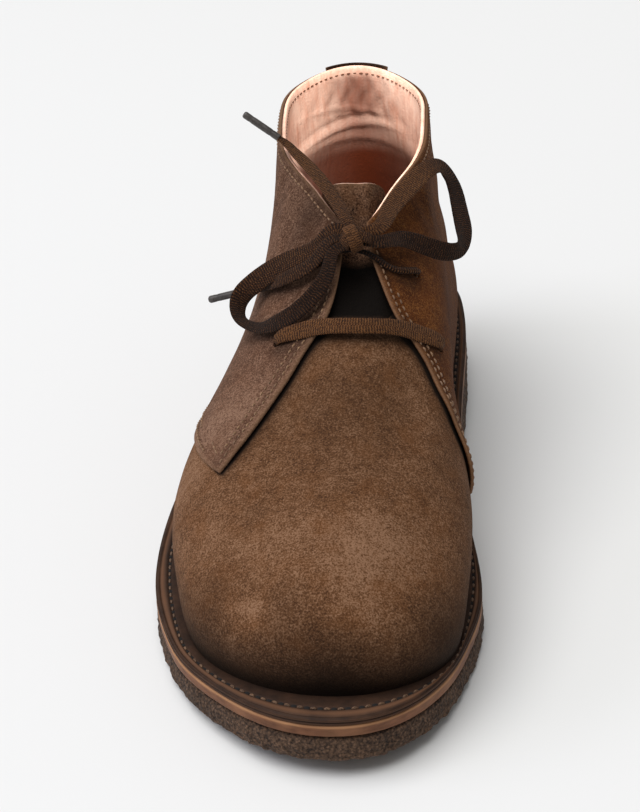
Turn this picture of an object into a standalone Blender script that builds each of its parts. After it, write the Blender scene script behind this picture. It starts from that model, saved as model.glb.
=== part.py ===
"""Desert boot, the wearer's right one: suede upper, stitched welt, crepe sole and a tied flat lace.

Frame: metres, +Z up, toe to -Y, heel to +Y, inner side of the foot to +X, outer side to -X.
The sole rests on z = 0 and the origin is under the middle of the outsole.

The upper is one smooth form. A point on it has two numbers: v runs from 0 at the welt to 1 at the
collar, and u is the angle round the foot, 0 at the heel and 180 degrees at the toe, with the inner
side positive. Every leather piece is cut from that form at its own depth under or over it.
"""

import bpy
import bmesh
import numpy as np

MM = 0.001

# driving sizes
LENGTH = 300 * MM
HEEL_Y = 150 * MM
CREPE = 9.4 * MM
MIDSOLE = 4.0 * MM
WELT = 2.5 * MM
GAP = 0.3 * MM
SUEDE = 1.3 * MM
SHELL_WALL = 1.5 * MM
SHELL_DEPTH = 0.6 * MM
INSOLE_RISE = 3.0 * MM
HEEL_BREAST_Y = 48 * MM
TONGUE_DEPTH = 2.9 * MM
TONGUE_WALL = 1.8 * MM
BACKSTAY_PROUD = 2.2 * MM
LACE_WIDTH = 6.3 * MM
LACE_THICK = 1.3 * MM
LACE_ROUND = 3.2 * MM

# how finely each form is cut
SOLE_POINTS = 72
BACK_CELLS = 14
FRONT_CELLS = 10
SMALL_STEP = 1e-3


def table(names, rows):
    """Rows of numbers as a dictionary of columns, one per name."""
    return dict(zip(names.split(), np.array(rows, dtype=float).T))


# sole outline: share of the length from the heel, x of its middle line, half its width, in mm
SOLE = table("share middle half", [
    (0.00, 9.5, 0.0),
    (0.05, 9.5, 28.5),
    (0.12, 9.3, 37.2),
    (0.20, 8.8, 40.0),
    (0.35, 6.0, 42.5),
    (0.50, -0.4, 50.8),
    (0.60, -0.8, 54.2),
    (0.70, 1.8, 55.9),
    (0.77, 3.9, 54.3),
    (0.835, 5.5, 49.3),
    (0.89, 7.5, 42.9),
    (0.953, 10.9, 29.4),
    (1.00, 13.0, 0.0),
])
SOLE_HEEL_ROUND = 0.5
SOLE_TOE_ROUND = 0.47

# height of the welt's top along the foot: heel, arch, ball and toe spring, in mm
BED = table("y z", [
    (-150, 22.5),
    (-118, 18.8),
    (-92, 16.7),
    (-60, 16.2),
    (-28, 16.6),
    (0, 18.6),
    (25, 21.8),
    (60, 27.0),
    (95, 31.0),
    (150, 32.5),
])

# rings of the upper: front and back point, how far the ring rises over the straight line between
# them, bluntness of the front, x of the back and front point, and half widths at the shares of the
# ring's length in RING_SHARES, in mm
RING_SHARES = np.array([0.06, 0.16, 0.34, 0.52, 0.70, 0.84, 0.95])
RINGS = table("v front_y front_z back_y back_z arch nose back_x front_x w1 w2 w3 w4 w5 w6 w7", [
    (0.0, -136.5, 22.5, 143.0, 32.5, 0.0, 0.47, 9.5, 12.5, 25.0, 33.8, 37.5, 45.0, 50.0, 46.0, 33.0),
    (0.1, -138.0, 34.0, 145.0, 42.0, 0.0, 0.46, 9.3, 12.5, 26.0, 34.8, 38.0, 44.5, 51.5, 47.5, 33.5),
    (0.2, -131.0, 47.0, 146.0, 52.0, 0.0, 0.47, 9.0, 12.8, 25.0, 34.0, 37.5, 42.5, 49.0, 43.5, 27.0),
    (0.3, -114.0, 56.5, 145.5, 62.0, 0.0, 0.50, 8.5, 13.4, 23.5, 32.0, 36.0, 38.8, 42.2, 35.0, 19.5),
    (0.4, -91.0, 63.0, 144.0, 71.0, 0.0, 0.50, 8.0, 14.2, 21.5, 30.0, 34.3, 36.0, 37.5, 30.0, 16.0),
    (0.5, -65.0, 69.0, 142.0, 80.0, 0.0, 0.50, 7.0, 15.0, 19.5, 28.5, 33.2, 34.3, 33.5, 26.5, 14.0),
    (0.6, -41.0, 77.5, 140.0, 90.0, 0.0, 0.50, 6.3, 15.5, 18.0, 27.0, 32.0, 32.3, 31.0, 23.5, 12.5),
    (0.7, -20.0, 86.5, 138.0, 99.0, 0.5, 0.52, 5.6, 15.0, 16.5, 26.0, 30.0, 29.8, 28.0, 20.5, 11.0),
    (0.8, -4.0, 94.5, 137.0, 108.0, 1.5, 0.56, 5.0, 14.0, 16.0, 25.0, 29.0, 28.5, 25.5, 18.0, 9.5),
    (0.9, 8.5, 101.0, 136.5, 117.0, 3.0, 0.60, 4.6, 13.0, 15.5, 24.5, 28.3, 27.8, 23.5, 15.5, 8.0),
    (1.0, 18.5, 107.0, 137.0, 125.0, 4.5, 0.66, 4.5, 12.3, 15.5, 24.0, 27.4, 27.0, 22.0, 13.5, 6.5),
])
ARCH_PEAK = 6.75

# x of the upper's middle line, low down over the sole and high up on the leg, in mm
LOW_LINE = table("y x", [
    (-140, 12.5),
    (-110, 8.8),
    (-80, 5.4),
    (-50, 2.8),
    (-20, 1.8),
    (0, 1.8),
    (40, 4.8),
    (80, 8.2),
    (110, 9.3),
    (143, 9.5),
])
HIGH_LINE = table("y x", [
    (-140, 12.5),
    (-110, 10.0),
    (-80, 8.0),
    (-50, 6.5),
    (-20, 6.5),
    (10, 7.5),
    (60, 7.2),
    (100, 6.0),
    (137, 4.5),
])
HIGH_LINE_V = 0.55

# front edge of each quarter: below its corner it runs back to the welt, above it up to the lace
LATERAL_CORNER_V = 0.31
LATERAL_LOWER = table("v u", [(0.0, 78), (0.1, 84), (0.2, 98), (0.26, 113), (0.31, 130.5)])
LATERAL_UPPER = table("v u", [
    (0.31, 130.5),
    (0.41, 134.8),
    (0.49, 138.4),
    (0.56, 142.6),
    (0.615, 146.8),
    (0.70, 156.4),
    (0.80, 162.5),
    (0.90, 164.5),
    (1.00, 162.0),
])
MEDIAL_CORNER_V = 0.12
MEDIAL_LOWER = table("v u", [(0.0, 76), (0.05, 88), (0.09, 98), (0.12, 108)])
MEDIAL_UPPER = table("v u", [
    (0.12, 108),
    (0.20, 109.8),
    (0.31, 113.4),
    (0.43, 121.5),
    (0.535, 130.1),
    (0.616, 138.8),
    (0.70, 149.6),
    (0.80, 158.0),
    (0.90, 163.0),
    (1.00, 162.0),
])
THROAT_V = 0.70

# half the backstay's width as an angle, from the welt to the collar
BACKSTAY_EDGE = table("v u", [(0.0, 9.5), (0.5, 13.0), (1.0, 20.5)])

# heights of the rows that every leather piece shares
ROW_V = np.array([
    0.0, 0.05, 0.09, MEDIAL_CORNER_V, 0.16, 0.20, 0.26, LATERAL_CORNER_V, 0.36, 0.41, 0.46,
    0.51, 0.56, 0.61, 0.66, THROAT_V, 0.76, 0.82, 0.88, 0.94, 1.0,
])

# the tongue: where it starts under the vamp, angle of its side edges, and how far it stands up
TONGUE_V = np.array([0.60, 0.65, 0.70, 0.76, 0.82, 0.88, 0.94, 1.0])
TONGUE_EDGES = table("v u", [(0.60, 148), (0.80, 138), (1.00, 134)])
TONGUE_INNER_EDGE = 158.0
TONGUE_TOP_RISES = (0.3, 0.65, 1.0)
TONGUE_TOP = np.array([0.0, 9.5, 17.0]) * MM
TONGUE_SIDE_RISE = 0.18
TONGUE_TOP_ROUND = 1.4
TONGUE_COLUMNS = 13

# routes of the lace, in mm: points on the middle of the cord, chosen by hand over the form
BAR_LOWER = [(-13.9, -17.2, 80.3), (-7.7, -16.0, 84.3), (1.4, -18.9, 87.7), (14.3, -21.8, 89.5),
             (25.9, -17.9, 87.0), (34.3, -13.6, 82.3), (40.4, -12.5, 77.1)]
BAR_UPPER = [(-9.0, 9.3, 94.2), (-4.0, 9.2, 98.0), (3.0, 8.6, 102.0), (11.4, 7.3, 104.2),
             (19.5, 6.3, 100.9), (25.5, 6.3, 97.1), (30.8, 7.1, 92.8)]
KNOT_CENTRE = np.array([11.6, 6.4, 109.0]) * MM
KNOT_SIZE = np.array([14.0, 12.0, 7.8]) * MM
KNOT_LEAN = 32.0
LOOP_LATERAL = [(4.3, 9.5, 110.9), (-0.9, 9.6, 105.4), (-9.9, 11.2, 99.4), (-18.4, 13.2, 94.0),
                (-26.3, 13.2, 88.2), (-31.0, 10.6, 83.6), (-31.0, 5.0, 79.8), (-25.6, -1.8, 79.2),
                (-16.8, -9.6, 83.8), (-9.4, -10.8, 88.5), (-1.8, -7.8, 94.9), (2.6, -2.2, 101.2),
                (4.6, 2.9, 105.9)]
LOOP_MEDIAL = [(18.6, 9.7, 111.0), (22.5, 19.5, 113.0), (28.2, 33.0, 115.9), (34.2, 44.6, 118.0),
               (39.4, 52.0, 116.6), (43.4, 53.0, 110.6), (46.4, 44.6, 103.4), (48.2, 34.4, 97.6),
               (46.4, 26.2, 95.2), (41.2, 21.6, 97.0), (33.8, 18.0, 101.4), (26.6, 12.8, 105.8),
               (19.6, 5.9, 108.0)]
END_UPPER = [(9.0, 12.0, 112.4), (4.8, 21.6, 114.6), (0.6, 31.0, 116.4), (-4.0, 39.8, 118.1),
             (-9.2, 48.4, 119.8), (-14.8, 56.5, 121.8), (-18.2, 60.4, 123.4), (-21.2, 61.6, 125.2)]
END_LATERAL = [(3.6, 6.4, 108.5), (-1.8, 4.6, 102.4), (-11.0, 5.4, 95.4), (-19.8, 12.6, 88.4),
               (-26.6, 19.2, 83.5), (-30.6, 20.2, 82.0)]
TIP_LENGTH = 14.5 * MM
TIP_ROUND = 2.2 * MM
CORD_STEP = 4.5 * MM

# colours (linear), roughness
MATERIALS = {
    "suede": ((0.147, 0.085, 0.053), 0.95),
    "suede_dark": ((0.060, 0.035, 0.025), 0.95),
    "lining": ((0.560, 0.330, 0.240), 0.70),
    "crepe": ((0.075, 0.046, 0.032), 0.90),
    "midsole_tan": ((0.330, 0.190, 0.105), 0.65),
    "welt_brown": ((0.060, 0.036, 0.025), 0.60),
    "lace_brown": ((0.040, 0.024, 0.018), 0.90),
    "tip_grey": ((0.090, 0.085, 0.085), 0.45),
}


def solve_second(x, y):
    """Second derivatives of the natural cubic through y (one curve per column) at x."""
    count = len(x)
    step = np.diff(x)
    left = np.eye(count)
    right = np.zeros_like(y)
    for i in range(1, count - 1):
        left[i, i - 1:i + 2] = step[i - 1], 2 * (step[i - 1] + step[i]), step[i]
        right[i] = 6 * ((y[i + 1] - y[i]) / step[i] - (y[i] - y[i - 1]) / step[i - 1])
    return np.linalg.solve(left, right)


def cubic(x, y, at, curve=None):
    """Natural cubic through (x, y) read at the values in at; curve picks y's column for each."""
    y = y.reshape(len(x), -1)
    second = solve_second(x, y)
    at = np.asarray(at, dtype=float)
    flat = at.ravel()
    column = np.zeros(flat.size, dtype=int) if curve is None else curve
    i = np.clip(np.searchsorted(x, flat) - 1, 0, len(x) - 2)
    run = flat - x[i]
    step = x[i + 1] - x[i]
    start, end = second[i, column], second[i + 1, column]
    slope = (y[i + 1, column] - y[i, column]) / step - step * (2 * start + end) / 6
    value = y[i, column] + slope * run + start / 2 * run ** 2 + (end - start) / (6 * step) * run ** 3
    return value.reshape(at.shape)


def column_at(columns, key, name, at):
    """Smooth value of one column of a table, read by its key column."""
    return cubic(columns[key], columns[name], at)


def rounded_width(share, shares, widths, back_power, front_power):
    """Half width along a closed form: a class curve that rounds both ends, times a smooth cubic."""
    scale = widths / (shares ** back_power * (1 - shares) ** front_power)
    knots = np.r_[0.0, shares, 1.0]
    values = np.r_[scale[0], scale, scale[-1]]
    return share ** back_power * (1 - share) ** front_power * cubic(knots, values, share)


def sole_xy(turn):
    """Sole outline: turn is the angle round it, 0 at the heel; gives x and y."""
    share = (1 - np.cos(turn)) / 2
    half = rounded_width(share, SOLE["share"][1:-1], SOLE["half"][1:-1],
                         SOLE_HEEL_ROUND, SOLE_TOE_ROUND) * MM
    side = np.sign(np.sin(turn))
    x = column_at(SOLE, "share", "middle", share) * MM + side * half
    return np.stack([x - MIDDLE_X, HEEL_Y - LENGTH * share], -1)


def outline_middle():
    """x halfway between the sole's widest points, so that the origin can lie under it."""
    share = np.linspace(0, 1, 2001)
    half = rounded_width(share, SOLE["share"][1:-1], SOLE["half"][1:-1],
                         SOLE_HEEL_ROUND, SOLE_TOE_ROUND)
    middle = column_at(SOLE, "share", "middle", share)
    return ((middle - half).min() + (middle + half).max()) / 2 * MM


MIDDLE_X = outline_middle()


def bed(y):
    """Height of the welt's top at y."""
    return column_at(BED, "y", "z", y / MM) * MM


def ring_value(name, v):
    """A column of the ring table, read smoothly by v."""
    return column_at(RINGS, "v", name, v)


def ring_half_width(v, share):
    """Half width of the ring at v, at a share of its length from the heel, in mm."""
    flat_v, flat_share = v.ravel(), share.ravel()
    scales = []
    for number, at in enumerate(RING_SHARES, start=1):
        scale = RINGS[f"w{number}"] / (at ** 0.5 * (1 - at) ** RINGS["nose"])
        scales.append(cubic(RINGS["v"], scale, flat_v))
    scales = np.array([scales[0]] + scales + [scales[-1]])
    knots = np.r_[0.0, RING_SHARES, 1.0]
    smooth = cubic(knots, scales, flat_share, curve=np.arange(flat_share.size))
    nose = ring_value("nose", flat_v)
    return (flat_share ** 0.5 * (1 - flat_share) ** nose * smooth).reshape(share.shape)


def middle_line(y, v):
    """x of the upper's middle line: the sole's low down, the leg's from HIGH_LINE_V up."""
    blend = np.clip(v / HIGH_LINE_V, 0, 1)
    blend = blend * blend * (3 - 2 * blend)
    low = column_at(LOW_LINE, "y", "x", y)
    high = column_at(HIGH_LINE, "y", "x", y)
    return low * (1 - blend) + high * blend


def form(u, v):
    """Point on the upper's form for angles u (radians) and heights v, in metres."""
    u, v = np.broadcast_arrays(np.asarray(u, dtype=float), np.asarray(v, dtype=float))
    share = (1 - np.cos(u)) / 2
    back_y, front_y = ring_value("back_y", v), ring_value("front_y", v)
    back_z, front_z = ring_value("back_z", v), ring_value("front_z", v)
    y = back_y + (front_y - back_y) * share
    z = back_z + (front_z - back_z) * share
    z = z + ring_value("arch", v) * ARCH_PEAK * share ** 2 * (1 - share)
    straight = RINGS["back_z"][0] + (RINGS["front_z"][0] - RINGS["back_z"][0]) * (
        (RINGS["back_y"][0] - y) / (RINGS["back_y"][0] - RINGS["front_y"][0]))
    z = z + (bed(y * MM) / MM - straight) * np.clip(1 - v / 0.35, 0, 1) ** 1.5
    x = middle_line(y, v)
    x = x + (ring_value("front_x", v) - middle_line(front_y, v)) * share ** 3
    x = x + (ring_value("back_x", v) - middle_line(back_y, v)) * (1 - share) ** 3
    x = x + np.where(np.sin(u) >= 0, 1, -1) * ring_half_width(v, share)
    return np.stack([x, y, z], -1) * MM - np.array([MIDDLE_X, 0, 0])


def outward(u, v):
    """Unit normal of the form, pointing away from the foot."""
    along = form(u + SMALL_STEP, v) - form(u - SMALL_STEP, v)
    up = form(u, v + SMALL_STEP) - form(u, v - SMALL_STEP)
    normal = np.cross(up, along)
    return normal / np.linalg.norm(normal, axis=-1, keepdims=True)


def layer(u, v, height):
    """The form moved out by height, with its lowest row seated just over the welt."""
    points = form(u, v) + outward(u, v) * height
    low = np.broadcast_to(v, u.shape) == 0
    points[low, 2] = bed(points[low, 1]) + GAP
    return points


def quarter_edge(v, lower, upper, corner_v):
    """Angle of a quarter's front edge at v, in degrees: straight pieces below, a cubic above."""
    low = np.interp(v, lower["v"], lower["u"])
    high = column_at(upper, "v", "u", v)
    return np.where(v < corner_v, low, high)


def side_columns(v, lower, upper, corner_v):
    """Angles of one side's columns at each v: heel, backstay edge, quarter edge, toe."""
    stay = column_at(BACKSTAY_EDGE, "v", "u", v)
    edge = quarter_edge(v, lower, upper, corner_v)
    back = np.linspace(stay, edge, BACK_CELLS + 1, axis=-1)
    front = np.linspace(edge, 180.0, FRONT_CELLS + 1, axis=-1)[:, 1:]
    heel = np.stack([0 * stay, stay / 2], -1)
    return np.radians(np.concatenate([heel, back, front], axis=-1))


def finish(mesh_data, name, material):
    """Make an object of a bmesh, with smooth faces and sharp edges, and its material."""
    mesh = bpy.data.meshes.new(name)
    bmesh.ops.recalc_face_normals(mesh_data, faces=mesh_data.faces)
    mesh_data.to_mesh(mesh)
    mesh_data.free()
    mesh.shade_smooth()
    mesh.set_sharp_from_angle(angle=np.radians(35))
    thing = bpy.data.objects.new(name, mesh)
    bpy.context.scene.collection.objects.link(thing)
    thing.data.materials.append(make_material(material))
    return thing


def make_material(name):
    """Plain Principled material from the table, made once."""
    known = bpy.data.materials.get(name)
    if known:
        return known
    colour, roughness = MATERIALS[name]
    material = bpy.data.materials.new(name)
    material.use_nodes = True
    shader = material.node_tree.nodes["Principled BSDF"]
    shader.inputs["Base Color"].default_value = (*colour, 1)
    shader.inputs["Roughness"].default_value = roughness
    shader.inputs["Metallic"].default_value = 0.0
    return material


def sheet_solid(name, outer, inner, keep, closed, material):
    """A wall between two grids of points: kept cells on both, and a rim along every open edge.

    Each cell is split along the same diagonal in every layer, so that layers stay parallel.
    """
    rows, columns = outer.shape[:2]
    data = bmesh.new()
    verts = {}

    def vert(side, i, j):
        key = (side, i, j % columns)
        if key not in verts:
            verts[key] = data.verts.new((outer, inner)[side][i, j % columns])
        return verts[key]

    edges = {}
    for i in range(rows - 1):
        for j in range(columns if closed else columns - 1):
            if not keep[i, j]:
                continue
            cell = [(i, j), (i + 1, j), (i + 1, (j + 1) % columns), (i, (j + 1) % columns)]
            for corners in (cell[:3], [cell[0]] + cell[2:]):
                data.faces.new([vert(0, *c) for c in corners])
                data.faces.new([vert(1, *c) for c in reversed(corners)])
            for start, end in zip(cell, cell[1:] + cell[:1]):
                if (end, start) in edges:
                    del edges[(end, start)]
                else:
                    edges[(start, end)] = True
    for start, end in edges:
        data.faces.new([vert(0, *end), vert(0, *start), vert(1, *start), vert(1, *end)])
    return finish(data, name, material)


def lid(data, ring):
    """Close a ring whose points k and -k lie opposite each other, with a ladder of faces."""
    count = len(ring)
    data.faces.new([ring[0], ring[1], ring[-1]])
    for k in range(1, count // 2 - 1):
        data.faces.new([ring[k], ring[k + 1], ring[count - k - 1], ring[count - k]])
    data.faces.new([ring[count // 2 - 1], ring[count // 2], ring[count // 2 + 1]])


def plate(name, loops, material, hollow=False):
    """A solid through closed loops of points: lids on the first and last, or a ring if hollow."""
    data = bmesh.new()
    rings = [[data.verts.new(p) for p in loop] for loop in loops]
    pairs = list(zip(rings, rings[1:]))
    if hollow:
        pairs.append((rings[-1], rings[0]))
    for low, high in pairs:
        for k in range(len(low)):
            n = (k + 1) % len(low)
            data.faces.new([low[k], low[n], high[n], high[k]])
    if not hollow:
        lid(data, rings[0])
        lid(data, rings[-1])
    return finish(data, name, material)


def inset(loop, distance):
    """A closed loop of x and y moved inwards by distance, along its own normals."""
    along = np.roll(loop, -1, axis=0) - np.roll(loop, 1, axis=0)
    along /= np.linalg.norm(along, axis=1, keepdims=True)
    side = np.stack([-along[:, 1], along[:, 0]], -1)
    toward_middle = np.sign(np.sum(side * (loop.mean(axis=0) - loop)))
    return loop + toward_middle * side * distance


def at_height(loop, z):
    """A loop of x and y with its heights."""
    return np.column_stack([loop, np.broadcast_to(z, len(loop))])


def floor_line(y):
    """Underside of the crepe plate: flat on the floor at the ball, up at the toe and the heel."""
    stack = WELT + MIDSOLE + CREPE + 2 * GAP
    return np.maximum(bed(y) - stack, 0)


def make_sole():
    """Outsole, heel, midsole, welt and insole, from one outline and the foot bed's heights."""
    turn = np.linspace(0, 2 * np.pi, SOLE_POINTS, endpoint=False)
    outline = sole_xy(turn)
    feather = form(np.where(turn > np.pi, turn - 2 * np.pi, turn), 0.0)[:, :2]

    welt_low = -WELT
    midsole_top = welt_low - GAP
    midsole_low = midsole_top - MIDSOLE
    crepe_top = midsole_low - GAP

    def under(distance, rise):
        loop = inset(outline, distance)
        return at_height(loop, floor_line(loop[:, 1]) + rise)

    def below_bed(loop, drop):
        return at_height(loop, bed(loop[:, 1]) + drop)

    plate("outsole", [
        under(1.8 * MM, 0),
        under(0.2 * MM, 2.0 * MM),
        under(0.0, 4.5 * MM),
        below_bed(inset(outline, 0.9 * MM), crepe_top),
    ], "crepe")
    plate("midsole", [
        below_bed(inset(outline, 0.5 * MM), midsole_low),
        below_bed(inset(outline, 0.3 * MM), midsole_top),
    ], "midsole_tan")
    welt_inner = inset(feather, SHELL_DEPTH + SHELL_WALL)
    plate("welt", [
        below_bed(welt_inner, welt_low),
        below_bed(inset(outline, 1.3 * MM), welt_low),
        below_bed(inset(outline, 1.1 * MM), -0.6 * MM),
        below_bed(inset(outline, 1.8 * MM), 0),
        below_bed(welt_inner, 0),
    ], "welt_brown", hollow=True)
    insole_edge = SHELL_DEPTH + SHELL_WALL + 1.0 * MM
    plate("insole", [
        below_bed(inset(feather, insole_edge), welt_low),
        below_bed(inset(feather, insole_edge), INSOLE_RISE - 0.5 * MM),
        below_bed(inset(feather, insole_edge + 0.6 * MM), INSOLE_RISE),
    ], "lining")
    make_heel()


def make_heel():
    """Crepe heel under the rear of the outsole, cut straight across at the breast."""
    half_turn = np.arccos(1 - 2 * (HEEL_Y - HEEL_BREAST_Y) / LENGTH)
    turn = np.linspace(-half_turn, half_turn, 29)
    outline = sole_xy(turn)
    breast = (outline[0] + outline[-1]) / 2
    start = len(turn) // 2
    loop = np.concatenate([outline[start:], breast[None], outline[:start]])

    def level(distance, z):
        shape = loop.copy()
        walls = np.r_[0:start + 1, start + 2:len(loop)]
        shape[walls] = inset(loop, distance)[walls]
        shape[[start, start + 1, start + 2], 1] = HEEL_BREAST_Y
        return at_height(shape, z)

    top = level(0.6 * MM, 0)
    top[:, 2] = floor_line(top[:, 1]) - GAP
    plate("heel", [
        level(1.2 * MM, 0),
        level(0.0, 1.5 * MM),
        level(0.0, 5.0 * MM),
        top,
    ], "crepe")


def make_upper():
    """Vamp and lining as one hollow shell, the two quarters over it and the backstay."""
    v = ROW_V[:, None]
    lateral = -side_columns(ROW_V, LATERAL_LOWER, LATERAL_UPPER, LATERAL_CORNER_V)
    medial = side_columns(ROW_V, MEDIAL_LOWER, MEDIAL_UPPER, MEDIAL_CORNER_V)
    ring = np.concatenate([medial, lateral[:, -2:0:-1]], axis=1)
    side = medial.shape[1] - 1
    count = ring.shape[1]

    keep = np.ones((len(ROW_V) - 1, count), dtype=bool)
    throat = np.arange(side - FRONT_CELLS, side + FRONT_CELLS)
    keep[np.ix_(ROW_V[:-1] >= THROAT_V, throat)] = False
    outer = layer(ring, v, -SHELL_DEPTH)
    inner = layer(ring, v, -SHELL_DEPTH - SHELL_WALL)
    sheet_solid("upper", outer, inner, keep, True, "suede")

    base = GAP - SHELL_DEPTH
    edge = 2 + BACK_CELLS
    for name, columns in (("quarter_medial", medial), ("quarter_lateral", lateral)):
        part = columns[:, :edge + 1]
        near, far = layer(part, v, base), layer(part, v, base + SUEDE)
        seam = np.sign(part[0, 1]) * 0.2 * MM
        near[:, 0, 0] += seam
        far[:, 0, 0] += seam
        if name == "quarter_lateral":
            near, far = near[:, ::-1], far[:, ::-1]
        every = np.ones((len(ROW_V) - 1, edge), dtype=bool)
        sheet_solid(name, far, near, every, False, "suede")

    stay = np.concatenate([lateral[:, 2:0:-1], medial[:, :3]], axis=1)
    near = layer(stay, v, base + SUEDE + GAP)
    far = layer(stay, v, base + 2 * SUEDE + GAP)
    near[-1, :, 2] += BACKSTAY_PROUD
    far[-1, :, 2] += BACKSTAY_PROUD
    every = np.ones((len(ROW_V) - 1, stay.shape[1] - 1), dtype=bool)
    sheet_solid("backstay", far, near, every, False, "suede_dark")


def tongue_grid(depth):
    """Rows of tongue points under the form: a smooth arch through its two sides and its middle."""
    knots = np.array([-3.0, -2.0, -1.0, 0.0, 1.0, 2.0, 3.0])
    across = np.linspace(knots[0], knots[-1], TONGUE_COLUMNS)
    rows = []
    for v in TONGUE_V:
        edge = np.interp(v, TONGUE_EDGES["v"], TONGUE_EDGES["u"])
        angles = np.linspace(edge, TONGUE_INNER_EDGE, 3)
        u = np.radians(np.concatenate([-angles, [180.0], angles[::-1]]))
        height = np.array([v])
        points = form(u, height) - outward(u, height) * depth
        points[3] -= outward(u[3:4], height)[0] * 1.6 * MM
        rows.append(np.stack([cubic(knots, points[:, k], across) for k in range(3)], -1))
    aside = np.abs(across / knots[-1])[:, None]
    rise = 1 - (1 - TONGUE_SIDE_RISE) * aside ** TONGUE_TOP_ROUND
    for share in TONGUE_TOP_RISES:
        rows.append(rows[len(TONGUE_V) - 1] + TONGUE_TOP * share * rise)
    return np.array(rows)


def make_tongue():
    """The tongue, from under the vamp's throat to above the knot."""
    outer = tongue_grid(TONGUE_DEPTH)
    inner = tongue_grid(TONGUE_DEPTH + TONGUE_WALL)
    every = np.ones((outer.shape[0] - 1, outer.shape[1] - 1), dtype=bool)
    sheet_solid("tongue", outer, inner, every, False, "suede")


def smooth_route(points, step):
    """A cubic through hand-chosen points, read about every step along its length, in metres."""
    points = np.array(points, dtype=float) * MM
    length = np.r_[0, np.cumsum(np.linalg.norm(np.diff(points, axis=0), axis=1))]
    count = max(int(round(length[-1] / step)), 2) + 1
    at = np.linspace(0, length[-1], count)
    return np.stack([cubic(length, points[:, k], at) for k in range(3)], -1)


def make_bar(name, points, width, thick):
    """A flat stretch of lace across the facings, its broad side turned out from the instep."""
    route = smooth_route(points, CORD_STEP)
    along = np.gradient(route, axis=0)
    along /= np.linalg.norm(along, axis=1, keepdims=True)
    out = route - np.array([route[:, 0].mean(), route[:, 1].mean() + 22 * MM, 60 * MM])
    out -= along * np.sum(out * along, axis=1, keepdims=True)
    out /= np.linalg.norm(out, axis=1, keepdims=True)
    side = np.cross(along, out)
    shape = [(-1, -0.4), (-0.85, -1), (0.85, -1), (1, -0.4), (1, 0.4), (0.85, 1), (-0.85, 1),
             (-1, 0.4)]
    data = bmesh.new()
    rings = []
    for centre, across, lift in zip(route, side, out):
        rings.append([data.verts.new(centre + across * a * width / 2 + lift * b * thick / 2)
                      for a, b in shape])
    for low, high in zip(rings, rings[1:]):
        for k in range(len(shape)):
            n = (k + 1) % len(shape)
            data.faces.new([low[k], low[n], high[n], high[k]])
    data.faces.new(rings[0])
    data.faces.new(rings[-1])
    return finish(data, name, "lace_brown")


def make_cord(name, route, round_size, material="lace_brown"):
    """A tube along a route, as a curve with a round section and closed ends."""
    curve = bpy.data.curves.new(name, "CURVE")
    curve.dimensions = "3D"
    curve.bevel_depth = round_size / 2
    curve.bevel_resolution = 2
    curve.use_fill_caps = True
    spline = curve.splines.new("POLY")
    spline.points.add(len(route) - 1)
    spline.points.foreach_set("co", np.column_stack([route, np.ones(len(route))]).ravel())
    thing = bpy.data.objects.new(name, curve)
    bpy.context.scene.collection.objects.link(thing)
    curve.materials.append(make_material(material))
    return thing


def make_tip(name, cord_points):
    """The plain stiff tip that carries straight on from the end of a cord."""
    route = smooth_route(cord_points, CORD_STEP)
    ahead = route[-1] - route[-2]
    ahead /= np.linalg.norm(ahead)
    reach = np.linspace(GAP, GAP + TIP_LENGTH, 4)
    make_cord(name, route[-1] + reach[:, None] * ahead, TIP_ROUND, "tip_grey")


def make_knot():
    """The tied knot as one rounded block, leaning with the instep."""
    data = bmesh.new()
    bmesh.ops.create_uvsphere(data, u_segments=12, v_segments=8, radius=0.5)
    lean = np.radians(KNOT_LEAN)
    turn = np.array([
        [1, 0, 0],
        [0, np.cos(lean), -np.sin(lean)],
        [0, np.sin(lean), np.cos(lean)],
    ])
    for vert in data.verts:
        vert.co = turn @ (np.array(vert.co) * KNOT_SIZE) + KNOT_CENTRE
    return finish(data, "lace_knot", "lace_brown")


def make_lace():
    """Two flat bars across the facings, then the knot, the bow's loops and the ends with tips."""
    make_bar("lace_bar_lower", BAR_LOWER, LACE_WIDTH, LACE_THICK)
    make_bar("lace_bar_upper", BAR_UPPER, LACE_WIDTH / 2, LACE_THICK)
    make_knot()
    make_cord("lace_loop_lateral", smooth_route(LOOP_LATERAL, CORD_STEP), LACE_ROUND)
    make_cord("lace_loop_medial", smooth_route(LOOP_MEDIAL, CORD_STEP), LACE_ROUND)
    make_cord("lace_end_upper", smooth_route(END_UPPER, CORD_STEP), LACE_ROUND)
    make_cord("lace_end_lateral", smooth_route(END_LATERAL, CORD_STEP), LACE_ROUND)
    make_tip("tip_upper", END_UPPER)
    make_tip("tip_lateral", END_LATERAL)


def main():
    """Clear the scene and make the boot."""
    for thing in list(bpy.data.objects):
        bpy.data.objects.remove(thing, do_unlink=True)
    make_sole()
    make_upper()
    make_tongue()
    make_lace()


main()
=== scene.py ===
"""A suede desert boot, the wearer's right one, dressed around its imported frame.

The boot is built the way its maker would: leather pieces over a last, a stitched welt, a thin
midsole, a crepe outsole and a flat lace. Every leather piece is a surface of two numbers: v runs
from 0 at the welt to 1 at the collar, and u is the angle round the foot, 0 at the heel and 180
degrees at the toe, with the inner side of the foot positive. Lengths in tables are millimetres.
"""

import logging
import math
from dataclasses import dataclass
from enum import Enum

import bmesh
import bpy
import numpy as np
from mathutils import Matrix


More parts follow.
